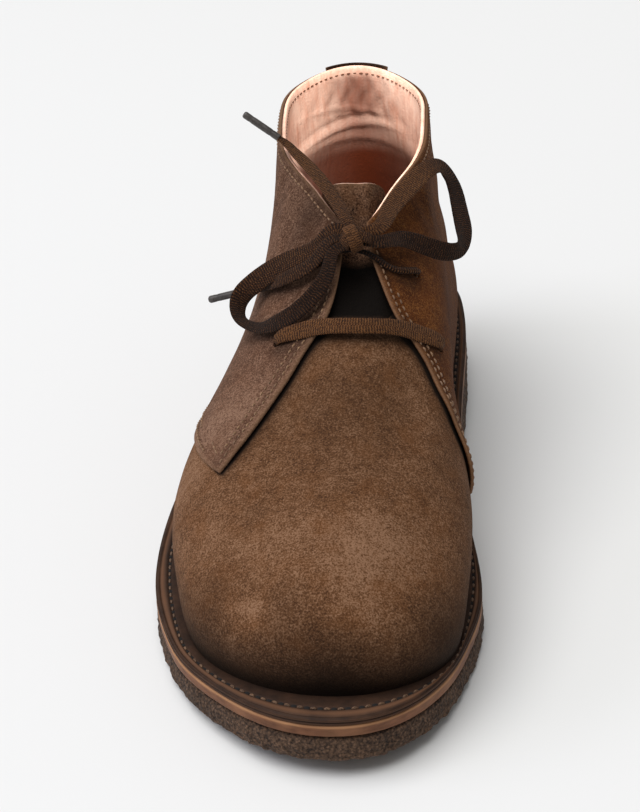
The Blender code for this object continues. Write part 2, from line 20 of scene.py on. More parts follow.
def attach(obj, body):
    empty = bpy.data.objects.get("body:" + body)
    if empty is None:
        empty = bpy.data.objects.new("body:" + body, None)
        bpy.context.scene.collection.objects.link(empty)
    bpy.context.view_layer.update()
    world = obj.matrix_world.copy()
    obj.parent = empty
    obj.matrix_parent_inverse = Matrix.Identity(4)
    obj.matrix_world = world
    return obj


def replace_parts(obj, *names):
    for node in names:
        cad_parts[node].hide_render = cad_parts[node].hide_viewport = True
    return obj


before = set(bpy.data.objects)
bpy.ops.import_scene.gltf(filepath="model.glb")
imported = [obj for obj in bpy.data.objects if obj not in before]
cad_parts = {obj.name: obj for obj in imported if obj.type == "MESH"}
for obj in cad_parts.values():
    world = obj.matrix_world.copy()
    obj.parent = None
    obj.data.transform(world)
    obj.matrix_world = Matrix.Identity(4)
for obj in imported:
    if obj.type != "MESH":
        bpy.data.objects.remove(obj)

MM = 0.001
LOG = logging.getLogger("boot")
Array = np.ndarray
Columns = dict[str, Array]


def rows(text: str) -> Array:
    """Rows of numbers: a comma ends a row, and a space a number."""
    return np.array([row.split() for row in text.split(",")], dtype=float)


def table(names: str, text: str) -> Columns:
    """Rows of numbers as a dictionary of columns, one array per name."""
    return dict(zip(names.split(), rows(text).T))


# sole outline: share of the length from the heel, x of its middle line, half its width
SOLE = table("share middle half", """
    0 9.5 0, .05 9.5 28.5, .12 9.3 37.2, .2 8.8 40, .35 6 42.5, .5 -.4 50.8, .6 -.8 54.2,
    .7 1.8 55.9, .77 3.9 54.3, .835 5.5 49.3, .89 7.5 42.9, .953 10.9 29.4, 1 13 0""")

# height of the welt's top along the foot
BED = table("y z", """
    -150 22.5, -118 18.8, -92 16.7, -60 16.2, -28 16.6, 0 18.6, 25 21.8, 60 27, 95 31, 150 32.5""")

# rings of the last: front and back point, rise over the line between them, bluntness of the
# front, x of the back and front point, and half widths at seven shares of the ring's length
RING_SHARES = np.array([0.06, 0.16, 0.34, 0.52, 0.70, 0.84, 0.95])
RINGS = table("v front_y front_z back_y back_z arch nose back_x front_x w1 w2 w3 w4 w5 w6 w7", """
    0 -136.5 22.5 143 32.5 0 .47 9.5 12.5 25 33.8 37.5 45 50 46 33,
    .1 -138 34 145 42 0 .46 9.3 12.5 26 34.8 38 44.5 51.5 47.5 33.5,
    .2 -131 47 146 52 0 .47 9 12.8 25 34 37.5 42.5 49 43.5 27,
    .3 -114 56.5 145.5 62 0 .5 8.5 13.4 23.5 32 36 38.8 42.2 35 19.5,
    .4 -91 63 144 71 0 .5 8 14.2 21.5 30 34.3 36 37.5 30 16,
    .5 -65 69 142 80 0 .5 7 15 19.5 28.5 33.2 34.3 33.5 26.5 14,
    .6 -41 77.5 140 90 0 .5 6.3 15.5 18 27 32 32.3 31 23.5 12.5,
    .7 -20 86.5 138 99 .5 .52 5.6 15 16.5 26 30 29.8 28 20.5 11,
    .8 -4 94.5 137 108 1.5 .56 5 14 16 25 29 28.5 25.5 18 9.5,
    .9 8.5 101 136.5 117 3 .6 4.6 13 15.5 24.5 28.3 27.8 23.5 15.5 8,
    1 18.5 107 137 125 4.5 .66 4.5 12.3 15.5 24 27.4 27 22 13.5 6.5""")

# x of the upper's middle line, low over the sole and high on the leg
LOW_LINE = table("y x", """
    -140 12.5, -110 8.8, -80 5.4, -50 2.8, -20 1.8, 0 1.8, 40 4.8, 80 8.2, 110 9.3, 143 9.5""")
HIGH_LINE = table("y x", """
    -140 12.5, -110 10, -80 8, -50 6.5, -20 6.5, 10 7.5, 60 7.2, 100 6, 137 4.5""")

# half the backstay's width, and the sides of the tongue, as angles
BACKSTAY_EDGE = table("v u", "0 9.5, .5 13, 1 20.5")
TONGUE_EDGES = table("v u", ".6 148, .8 138, 1 134")

# creases and folds: both ends on the last, width and depth (a ridge is negative)
CREASES = table("u0 v0 u1 v1 width depth", """
    -128 .27 -168 .41 4.5 .55, 134 .24 172 .37 5 .5, -150 .2 160 .27 6 .3,
    -112 .17 -128 .33 4.5 .5, -172 .5 150 .45 6 -.35, -100 .55 -45 .6 6 .9,
    -95 .64 -30 .67 5 .6, 96 .52 48 .6 6 .9, 88 .63 30 .66 5 .55, -128 .97 -118 .7 3.2 .45,
    -112 .98 -104 .72 4 .5, -142 .96 -134 .8 2.4 .3, 118 .95 108 .74 3.5 .45,
    70 .93 62 .72 5 .45, -70 .93 -64 .74 5 .45, -60 .3 -25 .46 7 .5, 62 .28 25 .44 7 .5,
    -18 .8 14 .79 4 .35""")

# paler worn places of the nap, and darker ones that are partly painted shade: centre on the last,
# radius, amount (paler is positive)
VAMP_MARKS = table("u v radius amount", """
    169 .24 20 .5, 162 .31 16 .35, -158 .17 9 .45, -160 .2 2.6 .3, -160.5 .185 2.4 .3,
    -161 .17 2.4 .3, -157 .19 2.2 .3, -156.5 .175 2.2 .3, -152 .26 8 .2, -138 .2 14 .35,
    -118 .22 13 .45, -160 .31 13 .25, 146 .24 14 .2, -174 .57 22 -.3, 176 .45 15 -.12,
    150 .14 12 -.25, 118 .16 16 -.2, -178 .28 9 -.12, -145 .3 9 -.15, 178 .13 14 -.3,
    -168 .23 8 -.15""")
LATERAL_MARKS = table("u v radius amount", """
    -127 .44 17 .35, -119 .3 13 .45, -119 .93 14 -.12, -136 .93 12 -.4, -128 .82 14 -.2,
    -113 .66 18 .15, -100 .6 20 .15, -70 .25 22 -.2, -40 .4 20 .2, -60 .8 18 .15,
    -90 .36 12 .25, -146 .74 12 -.15""")
MEDIAL_MARKS = table("u v radius amount", """
    105 .78 14 -.15, 95 .45 16 -.2, 116 .35 14 -.2, 70 .6 20 .1, 40 .4 20 .2, 60 .85 18 .15,
    80 .2 18 -.25, 128 .62 12 .15""")

# lace routes over the boot, on the middle of the cord
BAR_LOWER = rows("""
    -13.9 -17.2 80.3, -7.7 -16 84.3, 1.4 -18.9 87.7, 14.3 -21.8 89.5, 25.9 -17.9 87,
    34.3 -13.6 82.3, 40.4 -12.5 77.1""")
BAR_UPPER = rows("""
    -9 9.3 94.2, -4 9.2 98, 3 8.6 102, 11.4 7.3 104.2, 19.5 6.3 100.9, 25.5 6.3 97.1,
    30.8 7.1 92.8""")
KNOT_CENTRE = (11.6, 6.4, 109.0)
LOOP_LATERAL = rows("""
    4.3 9.5 110.9, -.9 9.6 105.4, -9.9 11.2 99.4, -18.4 13.2 94, -26.3 13.2 88.2, -31 10.6 83.6,
    -31 5 79.8, -25.6 -1.8 79.2, -16.8 -9.6 83.8, -9.4 -10.8 88.5, -1.8 -7.8 94.9,
    2.6 -2.2 101.2, 4.6 2.9 105.9""")
LOOP_MEDIAL = rows("""
    18.6 9.7 111, 22.5 19.5 113, 28.2 33 115.9, 34.2 44.6 118, 39.4 52 116.6, 43.4 53 110.6,
    46.4 44.6 103.4, 48.2 34.4 97.6, 46.4 26.2 95.2, 41.2 21.6 97, 33.8 18 101.4,
    26.6 12.8 105.8, 19.6 5.9 108""")
END_UPPER = rows("""
    9 12 112.4, 4.8 21.6 114.6, .6 31 116.4, -4 39.8 118.1, -9.2 48.4 119.8, -14.8 56.5 121.8,
    -18.2 60.4 123.4, -21.2 61.6 125.2""")
END_LATERAL = rows("""
    3.6 6.4 108.5, -1.8 4.6 102.4, -11 5.4 95.4, -19.8 12.6 88.4, -26.6 19.2 83.5, -30.6 20.2 82""")


# ---- plain mathematics on whole arrays ----


def bell(x: Array) -> Array:
    """A bell curve: exp(-x^2)."""
    return np.exp(-x ** 2)


def blunt(value: Array, power: float) -> Array:
    """The value's size to a power, with its sign kept."""
    return np.sign(value) * np.abs(value) ** power


def circle(count: int) -> Array:
    """Angles spread evenly round a circle."""
    return np.arange(count) * 2 * np.pi / count


def to_line(points: Array, line: Array) -> tuple[Array, Array]:
    """Distance from each point to each stretch of a line, and the share of the stretch where
    it is nearest.
    """
    run = np.diff(line, axis=0)
    gap = points[:, None] - line[:-1]
    share = np.clip((gap * run).sum(-1) / (run ** 2).sum(-1), 0, 1)
    return np.linalg.norm(gap - share[..., None] * run, axis=-1), share


def raised(points: Array, normals: Array, height: Array | float) -> Array:
    """Points moved along their normals by a height in mm."""
    return points + normals * (np.asarray(height, float) * MM)[..., None]


def spline(x: Array, y: Array, at: Array, paired: bool = False) -> Array:
    """Natural cubic through the rows of y at x: its second derivatives solve the usual
    three-term system, and each stretch is the cubic that has them at its two ends.

    Args:
        x: places of the knots, rising.
        y: a value, or a row of values, for each knot.
        at: where it is read.
        paired: each place reads only its own column of y.
    Returns:
        One value or row per place.
    """
    columns = y.reshape(len(x), -1)
    step = np.diff(x)
    slope = np.diff(columns, axis=0) / step[:, None]
    inner = np.arange(1, len(x) - 1)
    left, right = np.eye(len(x)), np.zeros_like(columns)
    left[inner, inner - 1], left[inner, inner + 1] = step[:-1], step[1:]
    left[inner, inner] = 2 * (step[:-1] + step[1:])
    right[1:-1] = 6 * np.diff(slope, axis=0)
    bend = np.linalg.solve(left, right)
    i = np.clip(np.searchsorted(x, at) - 1, 0, len(x) - 2)
    pick = (i, np.arange(len(at))) if paired else (i,)
    above = (i + 1, np.arange(len(at))) if paired else (i + 1,)
    run, gap = at - x[i], step[i]
    if not paired:
        run, gap = run[:, None], gap[:, None]
    start = slope[pick] - gap * (2 * bend[pick] + bend[above]) / 6
    value = columns[pick] + run * (
        start + run * (bend[pick] / 2 + run * (bend[above] - bend[pick]) / (6 * gap)))
    return value if paired or y.ndim > 1 else value[:, 0]


def unit(vectors: Array) -> Array:
    """Vectors divided by their lengths."""
    return vectors / np.maximum(np.linalg.norm(vectors, axis=-1, keepdims=True), 1e-12)


def smooth_step(value: Array) -> Array:
    """0 below 0, 1 above 1, and 3t^2 - 2t^3 between."""
    value = np.clip(value, 0, 1)
    return value * value * (3 - 2 * value)


def lattice_noise(points: Array, size: float, seed: int) -> Array:
    """Values from -1 to 1: each corner of a cubic lattice has a hashed value, and a point mixes
    the eight round it by the smooth step of its place in the cell.

    Args:
        points: places, in metres.
        size: side of a cell, in metres.
        seed: another seed gives other values.
    Returns:
        One value per point.
    """
    place = points.reshape(-1, 3) / size + 31.7 * seed
    cell = np.floor(place).astype(np.int64)
    share = smooth_step(place - cell)
    total = np.zeros(len(cell))
    for corner in np.ndindex(2, 2, 2):
        key = (cell + corner) @ np.array([73856093, 19349663, 83492791]) + seed * 40503
        key = ((key ^ (key >> 13)) * 1274126177) & 0x7FFFFFFF
        key = ((key ^ (key >> 15)) * 668265263) & 0x7FFFFFFF
        weight = np.prod(np.where(corner, share, 1 - share), axis=1)
        total += weight * (key / 0x3FFFFFFF - 1)
    return total.reshape(points.shape[:-1])


def path_length(points: Array) -> Array:
    """Length from the first point along the line through the points."""
    return np.r_[0, np.cumsum(np.linalg.norm(np.diff(points, axis=0), axis=1))]


def walk(points: Array, pitch: float, start: float = 0.5) -> Array:
    """Places a pitch apart along a line through points, the first one start pitches in.

    Args:
        points: rows of numbers whose first three are a place.
        pitch: distance between two places.
        start: the first place, in pitches.
    Returns:
        Rows like those of points.
    """
    length = path_length(points[:, :3])
    at = np.arange(start * pitch, length[-1] - start * pitch + 1e-9, pitch)
    return np.stack([np.interp(at, length, column) for column in points.T], -1)


# ---- meshes ----


@dataclass
class Faces:
    """Corners of a mesh's faces: rows of four, then rows of three."""

    quads: Array
    tris: Array | None = None


def grid_quads(rows: int, columns: int, closed: bool = False, looped: bool = False) -> Array:
    """Faces of a grid of points: cell (i, j) has the corners (i, j), (i, j+1), (i+1, j+1) and
    (i+1, j). In a closed grid the last column's cells lead back to the first, and in a looped
    one the last row's too.
    """
    i, j = np.meshgrid(np.arange(rows if looped else rows - 1),
                       np.arange(columns if closed else columns - 1), indexing="ij")
    m, n = (i + 1) % rows, (j + 1) % columns
    return np.stack([i * columns + j, i * columns + n, m * columns + n, m * columns + j],
                    -1).reshape(-1, 4)


def tube(rings: int, rounds: int) -> Faces:
    """Faces of a tube of rings that runs to one more point at each end."""
    k = np.arange(rounds)
    n = (k + 1) % rounds
    low = (rings - 1) * rounds
    first = np.stack([n, k, np.full(rounds, rings * rounds)], -1)
    last = np.stack([low + k, low + n, np.full(rounds, rings * rounds + 1)], -1)
    return Faces(grid_quads(rings, rounds, True), np.concatenate([first, last]))


def hang(name: str, data: bpy.types.ID) -> bpy.types.Object:
    """An object that has the data, in the scene."""
    thing = bpy.data.objects.new(name, data)
    bpy.context.scene.collection.objects.link(thing)
    return thing


def face_out(mesh: bpy.types.Mesh) -> None:
    """Close a mesh's seams and turn its faces outwards."""
    data = bmesh.new()
    data.from_mesh(mesh)
    bmesh.ops.remove_doubles(data, verts=data.verts, dist=2e-6)
    bmesh.ops.recalc_face_normals(data, faces=data.faces)
    data.to_mesh(mesh)
    data.free()


def make_piece(name: str, points: Array, faces: Faces, finish: "Finish",
               marks: dict[str, Array] | None = None, slot: str | None = None,
               sharp: float = 50.0) -> bpy.types.Object:
    """Make one object of points and faces, close its seams and turn its faces outwards.

    Args:
        name: the piece's name.
        points: corners, in metres.
        faces: their faces.
        finish: what the piece is made of.
        marks: numbers per corner that the finish reads, by attribute name.
        slot: the record's material slot, not used.
        sharp: an edge stays hard where its faces meet at more than this many degrees.
    Returns:
        The object, which rides on the boot.
    """
    mesh = bpy.data.meshes.new(name)
    tris = np.empty((0, 3), int) if faces.tris is None else faces.tris
    corners = np.concatenate([faces.quads.ravel(), tris.ravel()])
    starts = np.r_[np.arange(len(faces.quads)) * 4, len(faces.quads) * 4 + np.arange(len(tris)) * 3]
    mesh.vertices.add(points.size // 3)
    mesh.vertices.foreach_set("co", points.astype(np.float32).ravel())
    mesh.loops.add(len(corners))
    mesh.loops.foreach_set("vertex_index", corners.astype(np.int32))
    mesh.polygons.add(len(starts))
    mesh.polygons.foreach_set("loop_start", starts.astype(np.int32))
    mesh.update(calc_edges=True)
    for key, values in (marks or {}).items():
        wide = values.ndim > 1 and values.shape[-1] == 3 and values.size == points.size
        layer = mesh.attributes.new(key, "FLOAT_VECTOR" if wide else "FLOAT", "POINT")
        layer.data.foreach_set("vector" if wide else "value", values.astype(np.float32).ravel())
    mesh.validate()
    face_out(mesh)
    mesh.shade_smooth()
    mesh.set_sharp_from_angle(angle=math.radians(sharp))
    piece = hang(name, mesh)
    mesh.materials.append(finish.material())
    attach(piece, "root")
    LOG.info("%s: %d faces", name, len(mesh.polygons))
    return piece


def wall(outer: Array, inner: Array, keep: Array | None = None,
         closed: bool = False) -> tuple[Array, Faces, Array]:
    """A closed wall between two grids of points: the kept cells on both sides, and a rim along
    each edge that only one kept cell uses.

    Args:
        outer: grid of rows, columns and 3 numbers.
        inner: the other side, of the same shape.
        keep: which cells are kept; all of them if it isn't given.
        closed: the last column's cells lead back to the first.
    Returns:
        Points, faces, and the number in both grids of each point that is used.
    """
    quads = grid_quads(*outer.shape[:2], closed)
    if keep is not None:
        quads = quads[keep.ravel()]
    count = outer.shape[0] * outer.shape[1]
    edges = np.stack([quads, np.roll(quads, -1, axis=1)], -1).reshape(-1, 2)
    there = edges[:, 0] * count + edges[:, 1]
    back = edges[:, 1] * count + edges[:, 0]
    rim = edges[~np.isin(back, there)]
    sides = np.stack([rim[:, 1], rim[:, 0], rim[:, 0] + count, rim[:, 1] + count], -1)
    used, numbers = np.unique(np.concatenate([quads, quads[:, ::-1] + count, sides]),
                              return_inverse=True)
    points = np.concatenate([outer.reshape(-1, 3), inner.reshape(-1, 3)])
    return points[used], Faces(numbers.reshape(-1, 4)), used


def cover(name: str, faces: tuple[Array, Array], finish: "Finish", marks: dict, slot: str,
          node: str, keep: Array | None = None) -> bpy.types.Object:
    """Make a closed sheet of leather from the grids of its two sides.

    Args:
        name: the piece's name.
        faces: outer and inner grid of points.
        finish: what it is made of.
        marks: numbers per point of the grid, one grid for both sides or a pair of them.
        slot: the record's material slot.
        node: the frame's node that it replaces.
        keep: which cells are kept; if it is given, the grid is closed round the foot.
    Returns:
        The piece.
    """
    points, quads, used = wall(*faces, keep, keep is not None)
    pairs = {key: value if isinstance(value, tuple) else (value, value)
             for key, value in marks.items()}
    marks = {key: np.concatenate([np.ravel(side) for side in pair])[used]
             for key, pair in pairs.items()}
    piece = make_piece(name, points, quads, finish, marks, slot)
    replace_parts(piece, node)
    return piece


def capsule(rounds: int = 6, rings: int = 5) -> tuple[Array, Faces]:
    """A stitch of length 2 and radius 1: rings at angles spread from pole to pole, x the cosine
    of the angle and the ring's radius the 0.6th power of its sine, and a pole at each end.
    """
    angle = np.linspace(0, np.pi, rings + 2)[1:-1]
    turn = circle(rounds)
    radius = np.sin(angle) ** 0.6
    body = np.stack(np.broadcast_arrays(np.cos(angle)[:, None], radius[:, None] * np.cos(turn),
                                        radius[:, None] * np.sin(turn)), -1).reshape(-1, 3)
    points = np.concatenate([body, [[1, 0, 0], [-1, 0, 0]]])
    return points, tube(rings, rounds)


def scatter(shape: tuple[Array, Faces], centres: Array, frames: Array,
            bow: float = 0.0) -> tuple[Array, Faces]:
    """Copies of a small shape: each point is its copy's centre plus its three numbers times the
    copy's three axes, and the third axis also lifts the middle of the copy by bow.

    Args:
        shape: points and faces of the shape.
        centres: one place per copy.
        frames: three axes per copy, with their lengths.
        bow: lift at the middle, in metres.
    Returns:
        Points and faces of all copies.
    """
    points, faces = shape
    placed = centres[:, None] + np.einsum("pk,nkc->npc", points, frames)
    lift = bow * (1 - points[:, 0] ** 2)
    placed += lift[None, :, None] * unit(frames[:, 2])[:, None]
    shift = np.arange(len(centres))[:, None, None] * len(points)
    return placed.reshape(-1, 3), Faces((faces.quads + shift).reshape(-1, 4),
                                        (faces.tris + shift).reshape(-1, 3))


# ---- finishes ----


def linear(colour: str, alpha: float = 1.0) -> tuple[float, float, float, float]:
    """An sRGB colour in hex as linear numbers: (c / 12.92) near black, else the 2.4 power law."""
    parts = [int(colour[i:i + 2], 16) / 255 for i in (1, 3, 5)]
    return (*[c / 12.92 if c <= 0.04045 else ((c + 0.055) / 1.055) ** 2.4 for c in parts], alpha)


@dataclass
class Tree:
    """The nodes of one material, each known by its name."""

    nodes: bpy.types.Nodes
    links: bpy.types.NodeLinks

    def add(self, name: str, kind: str, feeds: dict | None = None, **settings) -> str:
        """Add a node.

        Args:
            name: what the node is called.
            kind: Blender's name of it, after ShaderNode.
            feeds: input to a number, a colour in hex, or the node and output that feed it.
            settings: the node's own properties.
        Returns:
            The name.
        """
        node = self.nodes.new("ShaderNode" + kind)
        node.name = name
        for key, value in settings.items():
            setattr(node, key, value)
        for key, feed in (feeds or {}).items():
            if isinstance(feed, str) and not feed.startswith("#"):
                source, _, output = feed.partition(":")
                self.links.new(self.nodes[source].outputs[int(output or 0)], node.inputs[key])
            else:
                node.inputs[key].default_value = linear(feed) if isinstance(feed, str) else feed
        return name


@dataclass(frozen=True)
class Grain:
    """Noise with grains of a size in mm, some of it drawn out along an axis. If it has a span,
    low to high becomes least to most in the node named after it with "span".
    """

    size: float
    detail: float
    rough: float
    span: tuple[float, float, float, float] | None = None
    stretch: tuple[float, float, float] = (1, 1, 1)


@dataclass(frozen=True)
class Layer:
    """A colour laid on where a node's value goes from low to high, at most by a share."""

    source: str
    low: float
    high: float
    colour: str
    most: float = 1.0


@dataclass(frozen=True)
class Recipe:
    """What a finish is mixed from: the marks that it reads, noises by name, values whose sum is
    the tone, colours over the base, heights with their depth in mm, and the shader's numbers.
    """

    marks: str
    grains: dict[str, Grain]
    tones: tuple[str, ...]
    layers: tuple[Layer, ...]
    heights: tuple[tuple[str, float], ...]
    shader: dict[str, float | str]


@dataclass(frozen=True)
class Finish:
    """A finish: its name, its resting roughness and its ground colour."""

    name: str
    roughness: float = 0.9
    base: str = "#e5e5e4"

    def recipe(self) -> Recipe:
        """A plain finish has nothing over its base."""
        return Recipe("", {}, (), (), (), {})

    def weave(self, tree: Tree) -> None:
        """Add the nodes that only this finish has."""

    def material(self) -> bpy.types.Material:
        """The material of this finish, made once."""
        made = bpy.data.materials.get(self.name)
        if made:
            return made
        made = bpy.data.materials.new(self.name)
        made.use_nodes = True
        tree, recipe = Tree(made.node_tree.nodes, made.node_tree.links), self.recipe()
        tree.nodes.clear()
        tree.add("place", "TexCoord")
        for name in recipe.marks.split():
            tree.add(name, "Attribute", attribute_name=name)
        for name, grain in recipe.grains.items():
            place = "place:3"
            if grain.stretch != (1, 1, 1):
                place = tree.add(f"{name} way", "Mapping", {
                    "Vector": place, "Scale": [1 / s for s in grain.stretch]})
            tree.add(name, "TexNoise", {"Vector": place, "Scale": 1000 / grain.size,
                                        "Detail": grain.detail, "Roughness": grain.rough})
            if grain.span:
                tree.add(f"{name} span", "MapRange", {"Value": name, **dict(
                    zip(("From Min", "From Max", "To Min", "To Max"), grain.span))})
        self.weave(tree)
        total = recipe.tones[0] if recipe.tones else ""
        for number, name in enumerate(recipe.tones[1:]):
            total = tree.add(f"sum {number}", "Math", {0: total, 1: name}, operation="ADD")
        colour, normal = self.base, ""
        for number, layer in enumerate(recipe.layers):
            share = tree.add(f"share {number}", "MapRange", {
                "Value": total if layer.source == "sum" else layer.source,
                "From Min": layer.low, "From Max": layer.high, "To Max": layer.most})
            colour = tree.add(f"layer {number}", "Mix", {0: share, 6: colour, 7: layer.colour},
                              data_type="RGBA") + ":2"
        for name, depth in recipe.heights:
            feeds = {"Height": name, "Distance": depth * MM, "Strength": 1.0}
            normal = tree.add(f"relief of {name}", "Bump",
                              feeds | ({"Normal": normal} if normal else {}))
        tree.add("shader", "BsdfPrincipled", {
            "Base Color": colour, "Roughness": self.roughness, "Metallic": 0.0,
            **recipe.shader, **({"Normal": normal} if normal else {})})
        tree.add("output", "OutputMaterial", {"Surface": "shader"})
        return made


@dataclass(frozen=True)
class Suede(Finish):
    """Split leather buffed to a nap and waxed a little: short fibres that lie this way and that,
    so the eye sees a fine speckle, cloudy brushed patches, a pale bloom where light grazes it,
    and a raw cut edge. Below zero, the tone mark darkens it to a painted shade.
    """

    base: str = "#634229"
    pale: str = "#8c6950"
    deep: str = "#3c2517"
    warm: str = "#6d421f"
    edge: str = "#86664d"
    painted_shade: str = "#140b06"
    sheen: float = 0.03

    def weave(self, tree: Tree) -> None:
        """The paler half of the tone mark."""
        tree.add("rubbed", "Math", {0: "tone:2", 1: 0.0}, operation="MAXIMUM")

    def recipe(self) -> Recipe:
        """Speckle of fibre tips, brushed streaks and clouds over the base, then the marks: paler
        where worn, and below zero a painted shade.
        """
        soft = (0.3, 0.7, -0.20, 0.20)
        return Recipe(
            "tone edge",
            {"cloud": Grain(16.0, 4, 0.62, soft), "brush": Grain(5.0, 4, 0.6, soft, (1, 1, 2.4)),
             "flock": Grain(2.2, 3, 0.6, (0.3, 0.7, -0.26, 0.26)),
             "speckle": Grain(0.6, 3, 0.7, (0.3, 0.7, -1.15, 1.15)), "warmth": Grain(9.0, 2, 0.5)},
            ("cloud span", "brush span", "flock span", "speckle span", "rubbed"),
            (Layer("sum", 0.0, 1.0, self.pale), Layer("sum", 0.0, -1.0, self.deep),
             Layer("warmth", 0.48, 0.75, self.warm, 0.30),
             Layer("tone:2", 0.0, -1.3, self.painted_shade), Layer("edge:2", 0.0, 1.0, self.edge)),
            (("flock", 0.45), ("speckle", 0.40)),
            {"Specular IOR Level": 0.12, "Sheen Weight": self.sheen, "Sheen Roughness": 0.55,
             "Sheen Tint": "#c9ab90"})


@dataclass(frozen=True)
class Leather(Finish):
    """Smooth finished leather: pores and faint wrinkles under a thin coat, slightly darker in
    the hollows, and drawn out up the shaft by drape.
    """

    base: str = "#ffd8bf"
    deep: str = "#d58a69"
    stain: str = "#5c2610"
    wrinkle_mm: float = 4.0
    depth_mm: float = 0.12
    drape: float = 2.2

    def recipe(self) -> Recipe:
        """Soft patches and wrinkles over the base, stains and painted shade by the mark, pores in
        the relief.
        """
        return Recipe(
            "stain",
            {"patch": Grain(14.0, 3, 0.55, (0.35, 0.7, 0.0, 0.35)), "pore": Grain(0.8, 2, 0.5),
             "wrinkle": Grain(self.wrinkle_mm, 4, 0.6, (0.45, 0.72, 0.0, 0.45),
                              (1, 1, self.drape))},
            ("patch span", "wrinkle span"),
            (Layer("sum", 0.0, 1.0, self.deep), Layer("stain:2", 0.0, 1.0, self.stain)),
            (("wrinkle", self.depth_mm * 2.5), ("pore", self.depth_mm)),
            {"Specular IOR Level": 0.35})


@dataclass(frozen=True)
class Crepe(Finish):
    """Raw crepe rubber, sheeted and crinkled: small matte crumbs with dark pits between them."""

    base: str = "#543f30"
    deep: str = "#22160f"
    pale: str = "#775b47"
    crumb_mm: float = 1.15

    def weave(self, tree: Tree) -> None:
        """Crumbs: cells whose borders are shaken by a noise of colours."""
        tree.add("shake", "TexNoise", {"Vector": "place:3", "Scale": 1000 / 4.0, "Detail": 2})
        tree.add("shaken", "Mix", {0: 0.0015, 4: "place:3", 5: "shake:1"}, data_type="VECTOR")
        tree.add("crumb", "TexVoronoi", {"Vector": "shaken:1", "Scale": 1000 / self.crumb_mm},
                 feature="F1")
        tree.add("crumb span", "MapRange", {"Value": "crumb", "From Min": 0.0, "From Max": 0.75,
                                            "To Min": 0.45, "To Max": -0.55})
        tree.add("hump", "Math", {0: "crumb", 1: -1.0}, operation="MULTIPLY")

    def recipe(self) -> Recipe:
        """Crumbs broken up by grit, with dust on the crumbs' tops."""
        return Recipe(
            "tone",
            {"grit": Grain(0.7, 3, 0.65, (0.3, 0.7, -0.55, 0.55)),
             "patch": Grain(11.0, 3, 0.6, (0.3, 0.7, -0.2, 0.2))},
            ("crumb span", "grit span", "patch span", "tone:2"),
            (Layer("sum", 0.0, 0.8, self.pale), Layer("sum", 0.0, -0.8, self.deep)),
            (("hump", 0.55), ("grit", 0.3)), {"Specular IOR Level": 0.3})


@dataclass(frozen=True)
class EdgedBoard(Finish):
    """Pressed leatherboard or rubber whose cut edge was sanded and waxed: fine lines along the
    edge and a thin wax gloss.
    """

    base: str = "#7f5338"
    deep: str = "#56341f"
    pale: str = "#b4845c"
    line_mm: float = 0.9

    def recipe(self) -> Recipe:
        """Fine lines along the edge, soft blotches, and a paler rub by the mark."""
        return Recipe(
            "tone",
            {"line": Grain(self.line_mm, 3, 0.6, (0.35, 0.7, 0.0, 0.6), (6, 6, 1)),
             "blotch": Grain(9.0, 4, 0.6, (0.4, 0.7, 0.0, 0.5)), "tooth": Grain(0.6, 2, 0.55)},
            ("line span", "blotch span"),
            (Layer("sum", 0.0, 1.0, self.deep), Layer("tone:2", 0.0, 1.0, self.pale)),
            (("line", 0.10), ("tooth", 0.06)), {"Specular IOR Level": 0.25})


@dataclass(frozen=True)
class FlatBraid(Finish):
    """Flat lace braided of waxed cotton: two sets of yarns cross in a herringbone, paler on the
    raised yarns. The lane mark has the way along it and across it.
    """

    base: str = "#3a2010"
    pale: str = "#805531"
    deep: str = "#100703"
    yarn_mm: float = 0.95

    def weave(self, tree: Tree) -> None:
        """Chevrons: the sine of the way along, which leans with the way across, times the sine
        of the way across.
        """
        tree.add("way", "SeparateXYZ", {"Vector": "lane:1"})
        for name, operation, *feeds in (
                ("off middle", "ABSOLUTE", "way:1"), ("lean", "MULTIPLY", "off middle", 2.6),
                ("run", "MULTIPLY", "way:0", 1000 / self.yarn_mm), ("phase", "ADD", "run", "lean"),
                ("turn", "MULTIPLY", "phase", 2 * math.pi), ("yarn", "SINE", "turn"),
                ("side", "MULTIPLY", "way:1", 17.0), ("cross", "SINE", "side"),
                ("weave", "MULTIPLY", "yarn", "cross")):
            tree.add(name, "Math", dict(enumerate(feeds)), operation=operation)

    def recipe(self) -> Recipe:
        """Chevrons of yarns, with fluff, and the tone mark's painted light and shade along the
        lace.
        """
        return Recipe(
            "tone lane",
            {"fluff": Grain(0.6, 3, 0.7, (0.3, 0.7, -0.8, 0.8))},
            ("weave", "fluff span", "tone:2"),
            (Layer("sum", 0.0, 1.0, self.pale), Layer("sum", 0.0, -1.0, self.deep)),
            (("weave", 0.22), ("fluff", 0.25)),
            {"Specular IOR Level": 0.15, "Sheen Weight": 0.03, "Sheen Roughness": 0.5})


@dataclass(frozen=True)
class Thread(Finish):
    """Waxed polyester sewing thread, twisted, so it looks finely ribbed and a little glossy."""

    base: str = "#a5825f"
    deep: str = "#6c4f37"

    def recipe(self) -> Recipe:
        """Fine twist and dirt over the base."""
        return Recipe(
            "",
            {"twist": Grain(0.35, 2, 0.5), "dirt": Grain(6.0, 2, 0.55)}, (),
            (Layer("twist", 0.65, 0.35, self.deep), Layer("dirt", 0.45, 0.7, self.deep, 0.7)),
            (("twist", 0.12),), {})


@dataclass(frozen=True)
class TipPlastic(Finish):
    """Acetate film wound round the lace's end and pressed: satin, with faint scuffs."""

    base: str = "#4a4541"
    deep: str = "#2b2522"

    def recipe(self) -> Recipe:
        """Scuffs over the base."""
        return Recipe("", {"scuff": Grain(1.8, 4, 0.7, stretch=(1, 1, 3))}, (),
                      (Layer("scuff", 0.4, 0.65, self.deep),), (("scuff", 0.06),), {})


